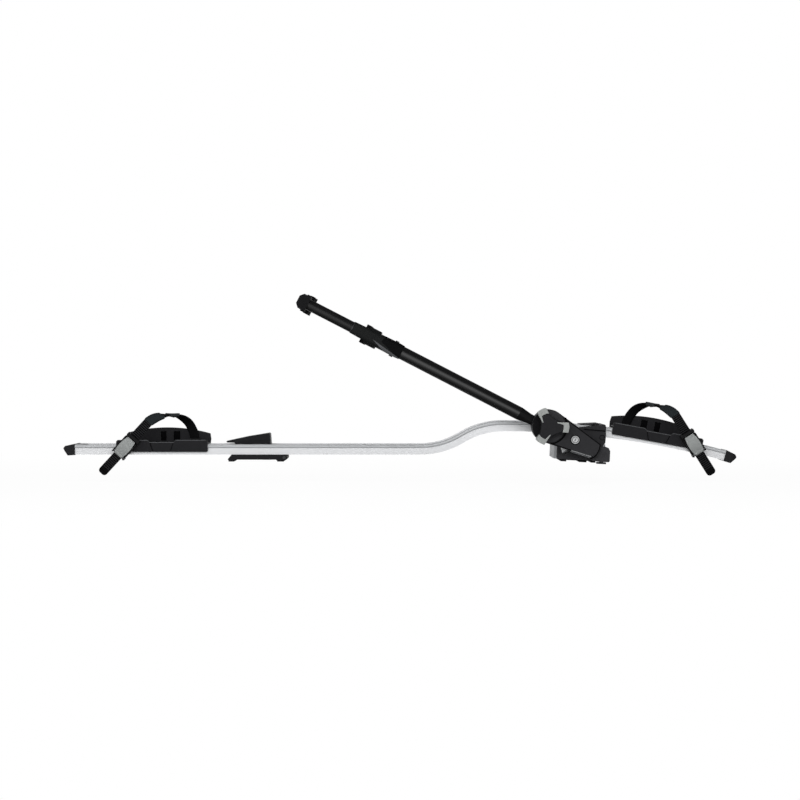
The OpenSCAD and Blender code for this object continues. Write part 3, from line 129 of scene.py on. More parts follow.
class NodeGroups:
    """Shader groups that several finishes share."""

    @staticmethod
    def start(name: str, inputs: dict[str, float], outputs: list[str]) -> bpy.types.NodeTree:
        """Make an empty group with named sockets.

        Args:
            name: the group's name.
            inputs: each input's name and default.
            outputs: the names of the outputs.

        Returns:
            The new group with its input and output nodes.
        """
        tree = bpy.data.node_groups.new(name, "ShaderNodeTree")
        tree.interface.new_socket("Vector", in_out="INPUT", socket_type="NodeSocketVector")
        for label, value in inputs.items():
            socket = tree.interface.new_socket(label, in_out="INPUT", socket_type="NodeSocketFloat")
            socket.default_value = value
        for label in outputs:
            tree.interface.new_socket(label, in_out="OUTPUT", socket_type="NodeSocketFloat")
        tree.nodes.new("NodeGroupInput").name = "in"
        tree.nodes.new("NodeGroupOutput").name = "out"
        return tree

    @staticmethod
    def maths(tree: bpy.types.NodeTree, kind: str, a: object, b: object) -> bpy.types.NodeSocket:
        """Add a sum, product or other step of two values.

        Args:
            tree: the tree to add to.
            kind: the operation's name.
            a: a socket or a number.
            b: a socket or a number.

        Returns:
            The result's socket.
        """
        step = tree.nodes.new("ShaderNodeMath")
        step.operation = kind
        for socket, value in zip(step.inputs, (a, b)):
            if isinstance(value, (int, float)):
                socket.default_value = value
            else:
                tree.links.new(value, socket)
        return step.outputs[0]

    @classmethod
    def noise(
        cls, tree: bpy.types.NodeTree, vector: object, scale: object, detail: float,
    ) -> bpy.types.NodeSocket:
        """Add a noise pattern.

        Args:
            tree: the tree to add to.
            vector: the socket of the place on the piece.
            scale: a socket or a number of patches to the metre.
            detail: how many finer layers the pattern has.

        Returns:
            The pattern's value socket.
        """
        node = tree.nodes.new("ShaderNodeTexNoise")
        node.inputs["Detail"].default_value = detail
        tree.links.new(vector, node.inputs["Vector"])
        if isinstance(scale, (int, float)):
            node.inputs["Scale"].default_value = scale
        else:
            tree.links.new(scale, node.inputs["Scale"])
        return node.outputs["Fac"]

    @classmethod
    def grain(cls) -> bpy.types.NodeTree:
        """Fine moulded or cast grain: a height, and a slow change of tone.

        Returns:
            The group, built once.
        """
        found = bpy.data.node_groups.get("surface_grain")
        if found:
            return found
        tree = cls.start("surface_grain", {"Scale": 900.0, "Patch": 18.0}, ["Height", "Tone"])
        source = tree.nodes["in"].outputs
        fine = cls.noise(tree, source["Vector"], source["Scale"], detail=3.0)
        pits = tree.nodes.new("ShaderNodeTexVoronoi")
        tree.links.new(source["Vector"], pits.inputs["Vector"])
        tree.links.new(source["Scale"], pits.inputs["Scale"])
        height = cls.maths(tree, "ADD", fine, cls.maths(tree, "MULTIPLY", pits.outputs["Distance"], 0.5))
        slow = cls.noise(tree, source["Vector"], source["Patch"], detail=4.0)
        tree.links.new(height, tree.nodes["out"].inputs["Height"])
        tree.links.new(slow, tree.nodes["out"].inputs["Tone"])
        return tree

    @classmethod
    def lines(cls) -> bpy.types.NodeTree:
        """Fine drawn lines along a piece, as on extruded or brushed metal.

        Returns:
            The group, built once.
        """
        found = bpy.data.node_groups.get("drawn_lines")
        if found:
            return found
        tree = cls.start("drawn_lines", {"Along": 3.0, "Across": 1400.0}, ["Height", "Tone"])
        source = tree.nodes["in"].outputs
        stretch = tree.nodes.new("ShaderNodeVectorMath")
        stretch.operation = "MULTIPLY"
        scales = tree.nodes.new("ShaderNodeCombineXYZ")
        tree.links.new(source["Along"], scales.inputs["X"])
        tree.links.new(source["Across"], scales.inputs["Y"])
        tree.links.new(source["Across"], scales.inputs["Z"])
        tree.links.new(source["Vector"], stretch.inputs[0])
        tree.links.new(scales.outputs[0], stretch.inputs[1])
        fine = cls.noise(tree, stretch.outputs[0], scale=1.0, detail=2.0)
        slow = cls.noise(tree, source["Vector"], scale=12.0, detail=3.0)
        tree.links.new(fine, tree.nodes["out"].inputs["Height"])
        tree.links.new(slow, tree.nodes["out"].inputs["Tone"])
        return tree


@dataclass(frozen=True)
class Finish:
    """A surface with a colour, a gloss and a fine relief of its own."""

    name: str
    slot: str
    colour: str
    roughness: float = 0.5
    metallic: float = 0.0
    specular: float = 0.15
    tone: float = 0.10
    rough_span: float = 0.10
    relief: float = 0.05
    relief_mm: float = 0.06
    scale: float = 900.0
    patch: float = 18.0
    drawn: bool = False
    # Colour painted on the rounded edges: lighter than the face is a painted highlight, darker is a painted
    # dark outline.
    edge: str = ""

    def edge_light_and_shade(self) -> "Finish":
        """Give the same finish its edge tone, which is painted light: lighter edges are painted highlights,
        darker ones painted shade.

        Returns:
            The finish of the edges.
        """
        return replace(self, name=f"{self.name}_edge", colour=self.edge or self.colour, edge="")

    def material(self) -> bpy.types.Material:
        """Build the material, or find it if it is there already.

        Returns:
            The finish's material.
        """
        found = bpy.data.materials.get(self.name)
        if found:
            return found
        made = bpy.data.materials.new(self.name)
        made.use_nodes = True
        tree = made.node_tree
        shader = tree.nodes["Principled BSDF"]
        shader.inputs["Metallic"].default_value = self.metallic
        shader.inputs["Specular IOR Level"].default_value = self.specular
        place = tree.nodes.new("ShaderNodeTexCoord")
        group = tree.nodes.new("ShaderNodeGroup")
        group.node_tree = NodeGroups.lines() if self.drawn else NodeGroups.grain()
        tree.links.new(place.outputs["Object"], group.inputs["Vector"])
        if not self.drawn:
            group.inputs["Scale"].default_value = self.scale
            group.inputs["Patch"].default_value = self.patch
        self.paint(tree, shader, group)
        bump = tree.nodes.new("ShaderNodeBump")
        bump.inputs["Strength"].default_value = self.relief
        bump.inputs["Distance"].default_value = self.relief_mm * MM
        tree.links.new(group.outputs["Height"], bump.inputs["Height"])
        tree.links.new(bump.outputs["Normal"], shader.inputs["Normal"])
        return made

    def paint(self, tree: bpy.types.NodeTree, shader: bpy.types.Node, group: bpy.types.Node) -> None:
        """Feed colour and gloss from the group's slow change of tone.

        Args:
            tree: the material's tree.
            shader: its main shader.
            group: the shared relief group.
        """
        base = srgb(self.colour)
        ramp = tree.nodes.new("ShaderNodeValToRGB")
        factors = (1 - self.tone, 1 + self.tone)
        for element, stop, factor in zip(ramp.color_ramp.elements, TONE_STOPS, factors):
            element.position = stop
            element.color = tuple(min(1.0, c * factor) for c in base[:3]) + (1.0,)
        tree.links.new(group.outputs["Tone"], ramp.inputs["Fac"])
        tree.links.new(ramp.outputs["Color"], shader.inputs["Base Color"])
        gloss = tree.nodes.new("ShaderNodeMapRange")
        gloss.inputs["To Min"].default_value = max(LEAST_ROUGHNESS, self.roughness - self.rough_span / 2)
        gloss.inputs["To Max"].default_value = min(1.0, self.roughness + self.rough_span / 2)
        tree.links.new(group.outputs["Tone"], gloss.inputs["Value"])
        tree.links.new(gloss.outputs["Result"], shader.inputs["Roughness"])


class Palette:
    """The carrier's finishes; an edge colour is painted light or shade on the rounded edges."""

    rail = Finish(
        "drawn_aluminium", "rail_aluminium", "dddee0", 0.30, 0.35, 0.5, relief=0.02, drawn=True, tone=0.02)
    # The bead is painted darker than the wall: painted shade for the dim overhead reflection on it.
    bead = replace(rail, name="drawn_bead_painted_shade", colour="babcbe")
    cast = Finish("blasted_casting", "bracket_aluminium", "a9abad", 0.50, 0.6, 0.5, relief=0.15, scale=700.0)
    # A brighter casting colour for the plate in the cover's notch: the bracket there is real, its brightness
    # is painted light.
    lit_tab = replace(cast, name="casting_painted_light", colour="d6d8d9", metallic=0.2)
    cap = Finish("cap_moulding", "cap_plastic", "1d1d1f", 0.46, relief=0.12, edge="2f2f31")
    base = Finish("base_moulding", "base_plastic", "28282a", 0.50, relief=0.14, edge="0c0c0d")
    cover = replace(base, name="cover_moulding", colour="313133")
    holder = Finish("holder_moulding", "holder_plastic", "1d1d1f", 0.50, relief=0.14, edge="2c2c2e")
    # A lighter bead on the top of the holder's near wall: a painted highlight where the top bevel catches
    # light.
    lip_highlight = Finish("holder_lip_highlight", "holder_plastic", "4c4d4f", 0.44, relief=0.08)
    # Near black for painted shade: seams, grooves, step corners and the backs of recesses.
    seam_shade = Finish("holder_seam_shade", "holder_plastic", "050506", 0.60, specular=0.05, relief=0.08)
    base_seam_shade = replace(seam_shade, name="base_seam_shade", slot="base_plastic")
    groove_shade = replace(seam_shade, name="housing_groove_shade", slot="housing_plastic")
    buckle = Finish("buckle_moulding", "buckle_plastic", "101011", 0.42, relief=0.10, edge="1d1d1f")
    clip = Finish("clip_moulding", "buckle_plastic", "2a2d2e", 0.50, specular=0.05, relief=0.08)
    lever = Finish(
        "lever_paint", "lever_silver", "8e9190", 0.44, 0.30, 0.4, relief=0.015, scale=2200.0, edge="a9acab")
    grip = replace(lever, name="grip_paint", slot="grip_silver", colour="969997", edge="a9acaa")
    strap = Finish("strap_moulding", "strap_plastic", "0b0b0c", 0.55, specular=0.05, relief=0.10)
    # The ladder's tooth tops are painted lighter than the strap: a painted highlight, with the darker strap
    # colour between them as painted shade.
    teeth_painted_light = Finish("strap_teeth_painted_light", "strap_plastic", "222224", 0.50, specular=0.10, relief=0.08)
    sleeve = Finish("matt_sleeve", "sleeve_rubber", "232729", 0.70, specular=0.02, relief=0.15)
    rubber = Finish("dull_rubber", "pad_rubber", "121213", 0.75, specular=0.03, relief=0.18)
    foot = Finish("foot_moulding", "foot_plastic", "19191b", 0.50, relief=0.14, edge="29292b")
    fork = Finish("fork_moulding", "fork_plastic", "0d0d0e", 0.42, relief=0.08)
    tube = Finish("black_tube", "tube_paint", "050506", 0.26, 0.0, 1.0, relief=0.02, scale=2500.0)
    inner = Finish("black_inner_tube", "tube_paint", "0d0d0e", 0.34, 0.0, 0.45, relief=0.02, scale=2500.0)
    jaw = Finish("jaw_moulding", "jaw_plastic", "101111", 0.48, relief=0.12, edge="292a2a")
    jaw_tip = replace(jaw, name="jaw_tip_moulding", colour="141415", specular=0.05, edge="1b1c1c")
    # Painted shade on the lower jaw's facet that faces away from the light.
    facet_shade = Finish("jaw_facet_shade", "jaw_plastic", "09090a", 0.50, specular=0.05, relief=0.08)
    # A lighter strip on the lower jaw's underside: a painted reflection of the pale floor.
    skirt = Finish("jaw_skirt_painted_light", "jaw_plastic", "4a4b4d", 0.46, relief=0.08)
    housing = Finish("housing_moulding", "housing_plastic", "29292b", 0.50, relief=0.14, edge="0d0d0e")
    # A light strip on the cover's lower edge: it stands for the cast plate's silver edge, brightened as
    # painted light.
    edge_highlight_strip = Finish("cover_edge_highlight", "housing_plastic", "757677", 0.45, relief=0.08)
    knob = Finish("knob_moulding", "knob_plastic", "1e1e20", 0.46, relief=0.12, edge="09090a")
    # The knob's hollows are painted lighter than the knob, as painted light against the grips' shade.
    hollow_painted_light = Finish("knob_hollow_painted_light", "knob_plastic", "343436", 0.50, specular=0.05, relief=0.10)
    shade = Finish("knob_shade", "knob_plastic", "121213", 0.50, specular=0.05, relief=0.10)
    bush = Finish("bush_moulding", "bush_plastic", "161617", 0.40, relief=0.05)
    collar = Finish("black_zinc", "zinc_steel", "48494b", 0.40, 0.8, 0.5, relief=0.05, scale=1600.0)
    zinc = Finish("zinc_plate", "zinc_steel", "b0b2b5", 0.34, 1.0, 0.5, relief=0.06, scale=1600.0)
    lock = Finish(
        "nickel_plate", "lock_metal", "c6c7c8", 0.34, 0.5, 0.5, relief=0.03, scale=2000.0, edge="8a8b8c")


class Accent:
    """A part of a solid's skin that has a second finish."""

    finish: Finish

    def mark(self, bm: bmesh.types.BMesh, slot: int) -> None:
        """Give the accent's faces their material slot.

        Args:
            bm: the skin's mesh.
            slot: the number of the material slot.
        """
        raise NotImplementedError


@dataclass(frozen=True)
class DeepAccent(Accent):
    """Everything deeper than a given depth behind the nearest face, or a share of it from the left."""

    finish: Finish
    depth_mm: float
    share: float = 1.0

    def mark(self, bm: bmesh.types.BMesh, slot: int) -> None:
        """Give the deeper faces their material slot.

        Args:
            bm: the skin's mesh.
            slot: the number of the material slot.
        """
        limit = min(vert.co.y for vert in bm.verts) + self.depth_mm * MM
        left = min(vert.co.x for vert in bm.verts)
        right = left + self.share * (max(vert.co.x for vert in bm.verts) - left)
        for face in bm.faces:
            centre = face.calc_center_median()
            if centre.y > limit and centre.x <= right:
                face.material_index = slot


@dataclass(frozen=True)
class SideAccent(Accent):
    """Everything that lies further to either side than a given distance."""

    finish: Finish
    beyond_mm: float

    def mark(self, bm: bmesh.types.BMesh, slot: int) -> None:
        """Give the faces at both sides their material slot.

        Args:
            bm: the skin's mesh.
            slot: the number of the material slot.
        """
        for face in bm.faces:
            if abs(face.calc_center_median().y) > self.beyond_mm * MM:
                face.material_index = slot


@dataclass(frozen=True)
class LowAccent(Accent):
    """Everything below a given height above the roof bars."""

    finish: Finish
    height_mm: float

    def mark(self, bm: bmesh.types.BMesh, slot: int) -> None:
        """Give the lower faces their material slot.

        Args:
            bm: the skin's mesh.
            slot: the number of the material slot.
        """
        for face in bm.faces:
            if face.calc_center_median().z < self.height_mm * MM:
                face.material_index = slot


@dataclass(frozen=True)
class RimAccent(Accent):
    """A band of even width along the border of the nearest flat face."""

    finish: Finish
    width_mm: float

    def mark(self, bm: bmesh.types.BMesh, slot: int) -> None:
        """Inset the nearest face and mark the band that this makes.

        Args:
            bm: the skin's mesh.
            slot: the number of the material slot.
        """
        near = min(vert.co.y for vert in bm.verts)
        flat = [face for face in bm.faces if all(vert.co.y < near + 0.01 * MM for vert in face.verts)]
        band = bmesh.ops.inset_region(
            bm, faces=flat, thickness=self.width_mm * MM, use_boundary=True, use_even_offset=True)["faces"]
        for face in band:
            face.material_index = slot
            face.smooth = True


@dataclass(frozen=True)
class WedgeAccent(Accent):
    """The near faces between two lines that run from one point, seen from the front."""

    finish: Finish
    apex: tuple[float, float]
    first: tuple[float, float]
    second: tuple[float, float]
    facing: float = 0.15

    def plane(self, end: tuple[float, float]) -> tuple[Vector, Vector]:
        """Find the upright plane through the apex and one end.

        Args:
            end: x and z of the line's far end.

        Returns:
            A point on the plane and its normal, which is up where the line runs to the right.
        """
        point = Vector((self.apex[0], 0.0, self.apex[1]))
        normal = Vector((self.apex[1] - end[1], 0.0, end[0] - self.apex[0])).normalized()
        return point, normal

    def mark(self, bm: bmesh.types.BMesh, slot: int) -> None:
        """Cut the skin along both lines and mark the faces between them.

        Args:
            bm: the skin's mesh.
            slot: the number of the material slot.
        """
        planes = [self.plane(self.first), self.plane(self.second)]
        for point, normal in planes:
            bmesh.ops.bisect_plane(
                bm, geom=bm.verts[:] + bm.edges[:] + bm.faces[:], dist=1e-6, plane_co=point, plane_no=normal)
        bm.normal_update()
        for face in bm.faces:
            centre = face.calc_center_median()
            below = (centre - planes[0][0]).dot(planes[0][1]) < 0
            above = (centre - planes[1][0]).dot(planes[1][1]) > 0
            if below and above and centre.x > self.apex[0] and face.normal.y < -self.facing:
                face.material_index = slot


@dataclass(frozen=True)
class Dressing:
    """One solid with its finish and the way its edges are shown."""

    node: str
    finish: Finish
    treatment: Treatment = Treatment.KEEP
    edge_mm: float = 0.6
    accents: tuple[Accent, ...] = ()
    merge_mm: float = 0.002


@dataclass
class Workshop:
    """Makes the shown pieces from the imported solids."""

    nodes: dict[str, bpy.types.Object]
    bodies: dict[str, list[str]]
    hinges: dict[str, Vector]

    def body_of(self, node: str) -> str:
        """Name the body that carries a solid.

        Args:
            node: the solid's name.

        Returns:
            The body's name.
        """
        return next(body for body, names in self.bodies.items() if node in names)

    def dress(self, item: Dressing) -> bpy.types.Object:
        """Give a solid its finish, on itself or on a finer copy.

        Args:
            item: the solid, its finish and its treatment.

        Returns:
            The object that is shown.
        """
        source = self.nodes[item.node]
        shown = source if item.treatment is Treatment.KEEP else self.copy(source, item)
        material = item.finish.material()
        for index in range(len(shown.data.materials)):
            shown.data.materials[index] = material
        if shown is not source:
            for finish in (item.finish, item.finish.edge_light_and_shade(), *(accent.finish for accent in item.accents)):
                shown.data.materials.append(finish.material())
            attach(shown, self.body_of(item.node))
            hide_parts(item.node)
        LOG.info("%s: %s in %s", item.node, item.treatment.value, item.finish.name)
        return shown

    def copy(self, source: bpy.types.Object, item: Dressing) -> bpy.types.Object:
        """Copy a solid's mesh and finish its edges.

        Args:
            source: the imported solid.
            item: its dressing.

        Returns:
            The new piece.
        """
        mesh = bpy.data.meshes.new(f"{item.node}_skin")
        bm = bmesh.new()
        bm.from_mesh(source.data)
        bmesh.ops.remove_doubles(bm, verts=bm.verts, dist=item.merge_mm * MM)
        if item.treatment is Treatment.SMOOTHED:
            self.crease_band(bm)
        else:
            self.clear_flats(bm)
        for face in bm.faces:
            face.smooth = True
            face.material_index = 0
        for slot, accent in enumerate(item.accents, start=2):
            accent.mark(bm, slot)
        bm.to_mesh(mesh)
        bm.free()
        piece = bpy.data.objects.new(f"{item.node}_skin", mesh)
        bpy.context.scene.collection.objects.link(piece)
        if item.treatment is Treatment.SMOOTHED:
            smooth = piece.modifiers.new("smooth", "SUBSURF")
            smooth.levels = SMOOTH_LEVELS
            smooth.render_levels = SMOOTH_LEVELS
        else:
            mesh.set_sharp_from_angle(angle=SHARP_ANGLE)
            edge = piece.modifiers.new("edge", "BEVEL")
            edge.width = item.edge_mm * MM
            edge.segments = EDGE_SEGMENTS
            edge.limit_method = "ANGLE"
            edge.angle_limit = SHARP_ANGLE
            edge.use_clamp_overlap = True
            # The bevel takes the edge colour: painted highlights or painted dark outlines.
            edge.material = 1 if item.finish.edge else -1
            flat = piece.modifiers.new("flat", "WEIGHTED_NORMAL")
            flat.keep_sharp = True
        return piece

    def trim(
        self, bm: bmesh.types.BMesh, name: str, node: str, finish: Finish, place: Matrix,
    ) -> bpy.types.Object:
        """Turn a drawn shape into a small piece on the body of a solid.

        Args:
            bm: the shape in its own frame, which is freed.
            name: the new piece's name.
            node: the solid that carries it.
            finish: its finish.
            place: where the shape's frame stands.

        Returns:
            The new piece.
        """
        bmesh.ops.transform(bm, matrix=place, verts=bm.verts)
        bmesh.ops.recalc_face_normals(bm, faces=bm.faces)
        for face in bm.faces:
            face.smooth = True
        mesh = bpy.data.meshes.new(name)
        bm.to_mesh(mesh)
        bm.free()
        mesh.set_sharp_from_angle(angle=TRIM_ANGLE)
        mesh.materials.append(finish.material())
        piece = bpy.data.objects.new(name, mesh)
        bpy.context.scene.collection.objects.link(piece)
        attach(piece, self.body_of(node))
        LOG.info("%s: new piece in %s", name, finish.name)
        return piece

    @staticmethod
    def plate(outline: list[tuple[float, float]], near: float, far: float, soft: float) -> bmesh.types.BMesh:
        """Draw a flat plate with softened edges.

        Args:
            outline: x and z of its corners, in millimetres.
            near: y of its front.
            far: y of its back.
            soft: radius of its edges.

        Returns:
            The plate's mesh.
        """
        bm = bmesh.new()
        face = bm.faces.new([bm.verts.new((x * MM, far * MM, z * MM)) for x, z in outline])
        grown = bmesh.ops.extrude_face_region(bm, geom=[face])["geom"]
        front = [item for item in grown if isinstance(item, bmesh.types.BMVert)]
        bmesh.ops.translate(bm, verts=front, vec=(0.0, (near - far) * MM, 0.0))
        bmesh.ops.bevel(
            bm, geom=bm.edges[:], offset=soft * MM, offset_type="OFFSET", segments=2, profile=0.5,
            affect="EDGES", material=-1, clamp_overlap=True)
        return bm

    @staticmethod
    def ring(
        inner: float, outer: float, near: float, far: float, turn: tuple[float, float],
    ) -> bmesh.types.BMesh:
        """Draw a flat ring, or a part of one, round an axis that runs from front to back.

        Args:
            inner: its inner radius, in millimetres.
            outer: its outer radius.
            near: y of its front.
            far: y of its back.
            turn: the angles where it starts and stops, in degrees up from the right.

        Returns:
            The ring's mesh.
        """
        start, stop = (math.radians(-angle) for angle in turn)
        whole = turn == WHOLE_TURN
        bm = bmesh.new()
        corners = ((inner, near), (outer, near), (outer, far), (inner, far))
        verts = [bm.verts.new((r * MM, y * MM, 0.0)) for r, y in corners]
        face = bm.faces.new(verts)
        bmesh.ops.rotate(bm, verts=verts, cent=(0.0, 0.0, 0.0), matrix=Matrix.Rotation(start, 3, "Y"))
        geom = verts + list(face.edges) + ([] if whole else [face])
        if whole:
            bmesh.ops.delete(bm, geom=[face], context="FACES_ONLY")
        bmesh.ops.spin(
            bm, geom=geom, cent=(0.0, 0.0, 0.0), axis=(0.0, 1.0, 0.0), angle=stop - start, steps=RING_STEPS,
            use_merge=whole)
        return bm

    @staticmethod
    def bead(path: list[tuple[float, float, float]], radius: float) -> bmesh.types.BMesh:
        """Draw a round bead along a path.

        Args:
            path: its points, in millimetres.
            radius: the bead's radius.

        Returns:
            The bead's mesh.
        """
        points = [Vector(point) * MM for point in path]
        turn = (points[1] - points[0]).to_track_quat("Z", "Y").to_matrix().to_4x4()
        bm = bmesh.new()
        start_place = Matrix.Translation(points[0]) @ turn
        bmesh.ops.create_circle(
            bm, cap_ends=True, segments=BEAD_SIDES, radius=radius * MM, matrix=start_place)
        cap = bm.faces[:][0]
        for start, stop in zip(points, points[1:]):
            grown = bmesh.ops.extrude_face_region(bm, geom=[cap])["geom"]
            ring = [item for item in grown if isinstance(item, bmesh.types.BMVert)]
            bmesh.ops.translate(bm, verts=ring, vec=stop - start)
            cap = next(item for item in grown if isinstance(item, bmesh.types.BMFace))
        return bm

    @staticmethod
    def clear_flats(bm: bmesh.types.BMesh) -> None:
        """Join the triangles of flat faces, so that only real edges are left to round.

        Args:
            bm: the skin's mesh.
        """
        bmesh.ops.dissolve_limit(
            bm, angle_limit=FLAT_ANGLE, use_dissolve_boundaries=False, verts=bm.verts, edges=bm.edges)

    @staticmethod
    def crease_band(bm: bmesh.types.BMesh) -> None:
        """Make a band's triangles into quads and keep its long edges firm.

        Args:
            bm: the band's mesh.
        """
        bmesh.ops.join_triangles(
            bm, faces=bm.faces, angle_face_threshold=JOIN_ANGLE, angle_shape_threshold=JOIN_ANGLE)
        layer = bm.edges.layers.float.get("crease_edge") or bm.edges.layers.float.new("crease_edge")
        for edge in bm.edges:
            if edge.is_manifold and edge.calc_face_angle(0.0) > CREASE_ANGLE:
                edge[layer] = CREASE


@dataclass
class SubAssembly:
    """A group of solids that is dressed together."""

    shop: Workshop
    dressings: tuple[Dressing, ...] = field(default=())

    def build(self) -> list[bpy.types.Object]:
        """Dress every solid of the group and add its small trim.

        Returns:
            The shown objects.
        """
        return [self.shop.dress(item) for item in self.dressings] + self.trims()

    def trims(self) -> list[bpy.types.Object]:
        """Add the small pieces that are not solids.

        Returns:
            The new pieces: none, unless a group has some.
        """
        return []


R = Treatment.ROUNDED
S = Treatment.SMOOTHED


@dataclass
class CarrierRail(SubAssembly):
    """The bent channel with its two caps."""

    dressings: tuple[Dressing, ...] = (
        # The rail's bead faces at both sides take the darker bead colour: painted shade.
        Dressing("rail", Palette.rail, R, 0.3, (SideAccent(Palette.bead, beyond_mm=31.3),), merge_mm=0.12),
        Dressing("rail_screws", Palette.zinc),
        Dressing("rear_cap", Palette.cap, R, 1.6),
        Dressing("front_cap", Palette.cap, R, 1.6),
    )


@dataclass
class BarBase(SubAssembly):
    """The base on the front roof bar, with the saddle over the rail."""

    dressings: tuple[Dressing, ...] = (
        Dressing("base_bracket", Palette.cast, R, 1.0),
        Dressing("base_cover", Palette.cover, R, 0.9),
        Dressing("rail_saddle", Palette.base, R, 1.6),
        Dressing("saddle_plate", Palette.base, R, 0.4),
        Dressing("base_sole", Palette.rubber, R, 0.4),
        Dressing("pivot_bushes", Palette.bush),
        Dressing("front_t_bolt", Palette.collar),
        Dressing("front_t_nut", Palette.zinc),
    )
    saddle_face: float = -52.0
    # Outline of a dark bar of painted shade along the saddle's seam groove; the ring round the boss is
    # painted shade too.
    seam_line: tuple[tuple[float, float], ...] = ((3.0, 70.8), (50.0, 66.9), (50.2, 64.4), (3.0, 68.3))
    boss: tuple[float, float] = (42.0, 52.0)
    boss_radius: float = 4.4
    boss_line: float = 1.1
    cover_face: float = -75.0
    notch: tuple[tuple[float, float], ...] = (
        (-48.6, 33.0), (-43.8, 19.8), (-34.0, 28.6), (-30.0, 33.0))

    def trims(self) -> list[bpy.types.Object]:
        """Add painted shade on the saddle's seam and round its boss, and a painted-light plate in the
        cover's notch.

        Returns:
            The new pieces.
        """
        near, far = self.saddle_face - TRIM_PROUD, self.saddle_face + TRIM_SUNK
        seam_shade = self.shop.plate(list(self.seam_line), near, far, TRIM_SOFT)
        boss_shade_ring = self.shop.ring(self.boss_radius, self.boss_radius + self.boss_line, near, far, WHOLE_TURN)
        place = Matrix.Translation((self.boss[0] * MM, 0.0, self.boss[1] * MM))
        # The plate in the notch stands for the bracket behind it and is painted lighter than that bracket's
        # shade.
        near, far = self.cover_face - TRIM_PROUD, self.cover_face + TRIM_SUNK
        lit_tab = self.shop.plate(list(self.notch), near, far, TRIM_SOFT)
        return [
            self.shop.trim(seam_shade, "saddle_seam_shade", "rail_saddle", Palette.base_seam_shade, Matrix()),
            self.shop.trim(boss_shade_ring, "saddle_boss_shade_line", "rail_saddle", Palette.base_seam_shade, place),
            self.shop.trim(lit_tab, "bracket_tab_painted_light", "base_bracket", Palette.lit_tab, Matrix()),
        ]


@dataclass
class RearFoot(SubAssembly):
    """The foot on the rear roof bar, with its cam lever."""

    dressings: tuple[Dressing, ...] = (
        Dressing("rear_foot", Palette.foot, R, 0.8),
        Dressing("rear_foot_pads", Palette.rubber, R, 0.5),
        Dressing("foot_rivet", Palette.collar),
        Dressing("cam_seat", Palette.zinc),
        Dressing("rear_t_bolt", Palette.zinc),
        Dressing("cam_pin", Palette.zinc),
        Dressing("cam_lever", Palette.foot, R, 1.0),
    )


